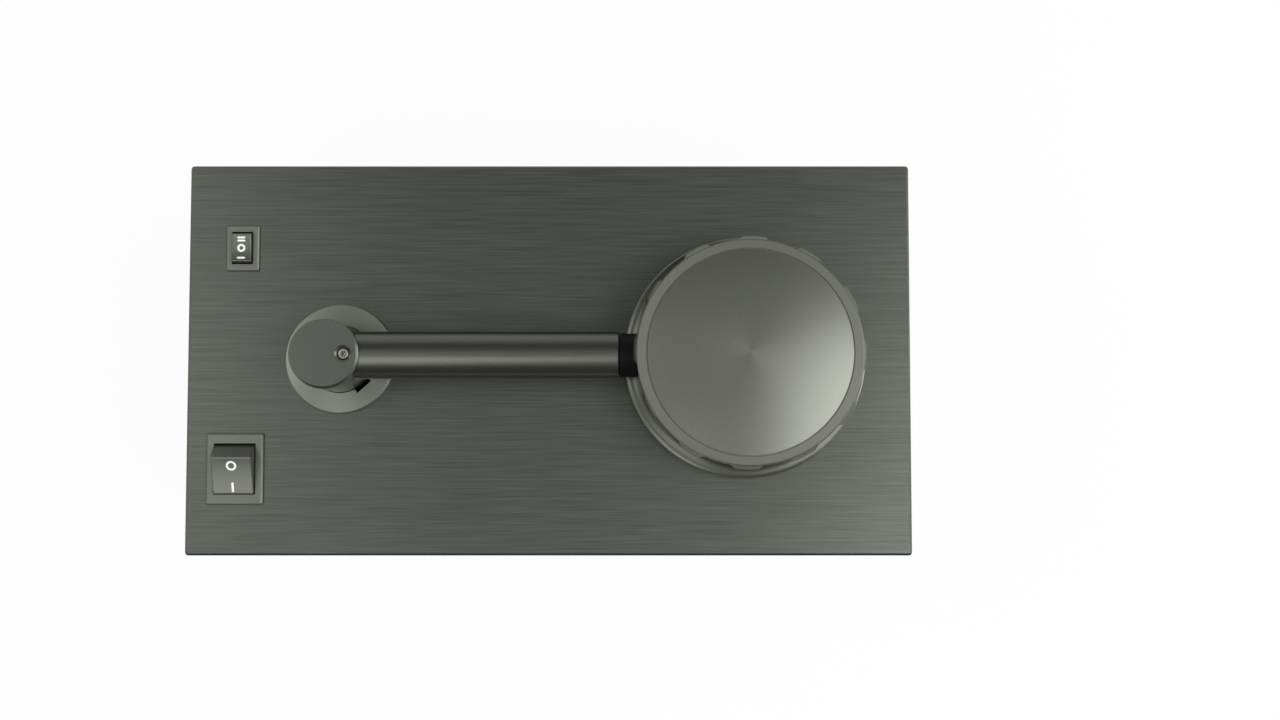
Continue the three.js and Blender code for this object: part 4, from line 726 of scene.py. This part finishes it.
# The bore's points at the keyway move outwards, onto its two walls and its floor.
for vert in flange.verts:
    flat = Vector((vert.co.x - axis.x, vert.co.y - axis.y, 0))
    if abs(flat.length - BORE * MM) > 0.01 * MM or vert.co.z < 182 * MM:
        continue
    off = (math.degrees(math.atan2(flat.y, flat.x)) - KEY_ANGLE + 180) % 360 - 180
    side = math.copysign(1, off)
    if abs(off) > wall_in + 1:
        continue
    if abs(off) > (wall_in + wall_out) / 2 - 0.3:
        angle, r = side * wall_in, BORE
    elif abs(off) > wall_out - 2:
        angle, r = side * wall_out, key_corner
    else:
        angle, r = off, KEY_FLOOR / math.cos(math.radians(off))
    angle = math.radians(angle + KEY_ANGLE)
    vert.co.x, vert.co.y = axis.x + r * MM * math.cos(angle), axis.y + r * MM * math.sin(angle)
flange_grey = machined("turned_flange", shade(126, 129, 121), ARM, 0.34, groove=0.3, depth=0.003,
                       contrast=0.08, Metallic=0.9, Anisotropic=0.65, Anisotropic_Rotation=0.25)
ended("arm_flange_fine", eased(flange, 0.12, sharp=40), flange_grey, "case", "satin_alloy", "arm_flange")

post_black = machined("turned_black_post", shade(85, 89, 83), ARM, 0.3, groove=0.3, depth=0.004,
                      Metallic=0.8)
post = turned([(0, 172), (14.3, 172), (14.9, 172.6), (14.9, 239), (13.9, 240), (0, 240)], (*ARM, 0), 128)
SCREW_X, TUBE_Z = ARM[0] + 8.5, 228
post = carved(
    post,
    turned([(0, 171), (6.5, 171), (6.5, 234.5), (0, 234.5)], (*ARM, 0), 48),
    turned([(0, 4.2), (10.5, 4.2), (10.5, 17), (0, 17)], (*ARM, TUBE_Z), 96, (1, 0, 0), (0, 0, 1)),
    turned([(0, 214.9), (2.7, 214.9), (2.7, 239), (3.9, 240.2), (0, 240.2)], (SCREW_X, SHIFT, 0), 48),
    turned([(0, 10.2), (1.9, 10.2), (1.9, 17), (0, 17)], (*ARM, 181.1), 32, (-1, 0, 0), (0, 0, 1)))
ended("arm_post_fine", post, post_black, "arm", "black_alloy", "arm_post")

grub = carved(
    turned([(0, 215.3), (1.8, 215.3), (2.4, 215.9), (2.4, 238.9), (2.1, 239.3), (1.95, 239.3), (1.8, 239.1),
            (1.65, 239.3), (0, 239.3)], (SCREW_X, SHIFT, 0), 48),
    turned([(0, 233.5), (1.1, 233.5), (1.1, 239.0), (1.4, 239.35), (0, 239.35)], (SCREW_X, SHIFT, 0), 6))
ended("set_screw_fine", grub, nickel, "arm", "zinc_steel", "set_screw")


# Suction tube: black anodised aluminium, pushed into the post and held by the set screw. Air goes in
# through a slot along its underside, between two velvet strips; a black plug shuts its end.
tube_finish = Finish(bpy.data.materials.new("black_anodised_tube"))
spot = tube_finish.place()
fine = grain(tube_finish, 0.35, spot)
drawn = grain(tube_finish, 0.8, spot, (0.05, 1, 1))
tone = fine * 0.6 + drawn * 0.4
tube_finish.wear(Base_Color=tube_finish.mix(tone, shade(80, 82, 77), shade(98, 99, 93)), Metallic=0.9,
                 Roughness=(tone - 0.5) * 0.2 + 0.33, Normal=relief(tube_finish, tone, 0.01))
SLOT_START, SLOT_END, SLOT_HALF = 34, 120, 1
tube = carved(
    turned([(8.5, 4.5), (10.2, 4.5), (10.2, 124.9), (9.7, 125.4), (8.5, 125.4), (8.5, 4.5)], (*ARM, TUBE_Z),
           128, (1, 0, 0), (0, 0, 1)),
    block((ARM[0] + SLOT_START, SHIFT - SLOT_HALF, 216), (ARM[0] + SLOT_END, SHIFT + SLOT_HALF, TUBE_Z),
          0.99, 2),
    turned([(0, 216), (2.7, 216), (2.7, 240), (0, 240)], (SCREW_X, SHIFT, 0), 48))
ended("arm_tube_fine", tube, tube_finish, "arm", "black_alloy", "arm_tube")

# The plug's own black nylon, made darker still by painted shade from the clamp above it.
plug_black_and_painted_shade = moulded("plug_plastic", shade(12, 12, 13), 0.6, size=0.4, depth=0.01,
                     Specular_IOR_Level=0.12)
plug = turned([(0, 120.4), (8.2, 120.4), (8.2, 125.7), (9.4, 125.7), (9.4, 133.5), (0, 133.5)],
              (*ARM, TUBE_Z), 96, (1, 0, 0), (0, 0, 1))
PLUG_END_X = 35                 # only the edges beyond it, at the plug's outer end, are rounded
ended("end_plug_fine", eased(plug, 0.9, 4, where=lambda e: e.verts[0].co.x > PLUG_END_X * MM), plug_black_and_painted_shade,
      "arm", "black_nylon", "end_plug")

velvet = moulded("black_velvet", shade(30, 29, 31), 0.95, size=0.25, depth=0.05, contrast=0.35,
                 Sheen_Weight=0.7, Sheen_Roughness=0.4)
PAD_INSIDE, PAD_OUTSIDE, PAD_START, PAD_END = 10.5, 13, 32, 122
PAD_LEAN, PAD_WRAP = 7, 31      # degrees from the tube's underside to a strip, and across the strip
PILE, PILE_GRAIN = 0.05, 900    # how far the pile stirs a point, and how finely
noise.seed_set(1)               # so that the pile is the same in each run
for name, side in (("rear", 1), ("front", -1)):
    strip = bmesh.new()
    lean = math.radians(PAD_LEAN)
    corners = [strip.verts.new(((ARM[0] + x) * MM, (SHIFT + side * r * math.sin(lean)) * MM,
                                (TUBE_Z - r * math.cos(lean)) * MM))
               for r, x in ((PAD_INSIDE, PAD_START), (PAD_OUTSIDE, PAD_START),
                            (PAD_OUTSIDE, PAD_END), (PAD_INSIDE, PAD_END))]
    loop = [strip.edges.new((corners[i], corners[(i + 1) % 4])) for i in range(4)]
    bmesh.ops.spin(strip, geom=corners + loop, cent=(0, SHIFT * MM, TUBE_Z * MM), axis=(side, 0, 0),
                   dvec=(0, 0, 0), angle=math.radians(PAD_WRAP), space=Matrix.Identity(4), steps=10,
                   use_merge=False, use_normal_flip=False, use_duplicate=False)
    bmesh.ops.holes_fill(strip, edges=[e for e in strip.edges if e.is_boundary], sides=0)
    bmesh.ops.recalc_face_normals(strip, faces=strip.faces)
    bmesh.ops.subdivide_edges(strip, cuts=89, use_grid_fill=True, edges=[
        e for e in strip.edges if abs(e.verts[0].co.x - e.verts[1].co.x) > 50 * MM])
    eased(strip, 0.6, 3, 40)
    for vert in strip.verts:
        vert.co += noise.noise_vector(vert.co * PILE_GRAIN) * PILE * MM
    ended(f"pad_{name}_fine", strip, velvet, "arm", "velvet", f"pad_{name}")


# Inside the case: what the panels and plates hide keeps its CAD shape and gets its own finish.
steel = moulded("bright_steel", shade(190, 190, 188), 0.28, size=0.7, depth=0.004, Metallic=1.0)
brass = moulded("turned_brass", shade(196, 158, 92), 0.3, size=0.6, depth=0.004, Metallic=1.0)
nylon = moulded("grey_nylon", shade(150, 150, 144), 0.5, size=0.6, depth=0.01)
casting = moulded("cast_alloy", shade(158, 160, 160), 0.5, size=0.9, depth=0.03, Metallic=0.9)
tank = moulded("tank_polythene", shade(214, 216, 210), 0.45, size=2.0, depth=0.01, contrast=0.05,
               Transmission_Weight=0.25)
board_green = moulded("circuit_board", shade(42, 86, 56), 0.4, size=1.5, depth=0.01, contrast=0.25)
hose = moulded("hose_rubber", shade(40, 40, 42), 0.7, size=0.6, depth=0.02)
cable = moulded("cable_sleeve", shade(30, 30, 32), 0.6, size=0.4, depth=0.02)
dressed(zinc, "flange_nut", "motor_plate", "mount_ring")
dressed(steel, "lift_spring", "guide_pin", "spindle", "drive_motor")
dressed(nylon, "thrust_washer", "drive_gear")
dressed(brass, "bearing_bush", "motor_pinion", "clamp_insert")
dressed(casting, "bearing_housing", "gearbox", "vacuum_motor", "fan_housing", "fan_cover", "impeller")
dressed(tank, "waste_tank")
dressed(inlet_black, "tank_lid")
dressed(hose, "inlet_hose", "suction_hose")
dressed(board_green, "power_board")
dressed(cable, "mains_loom")
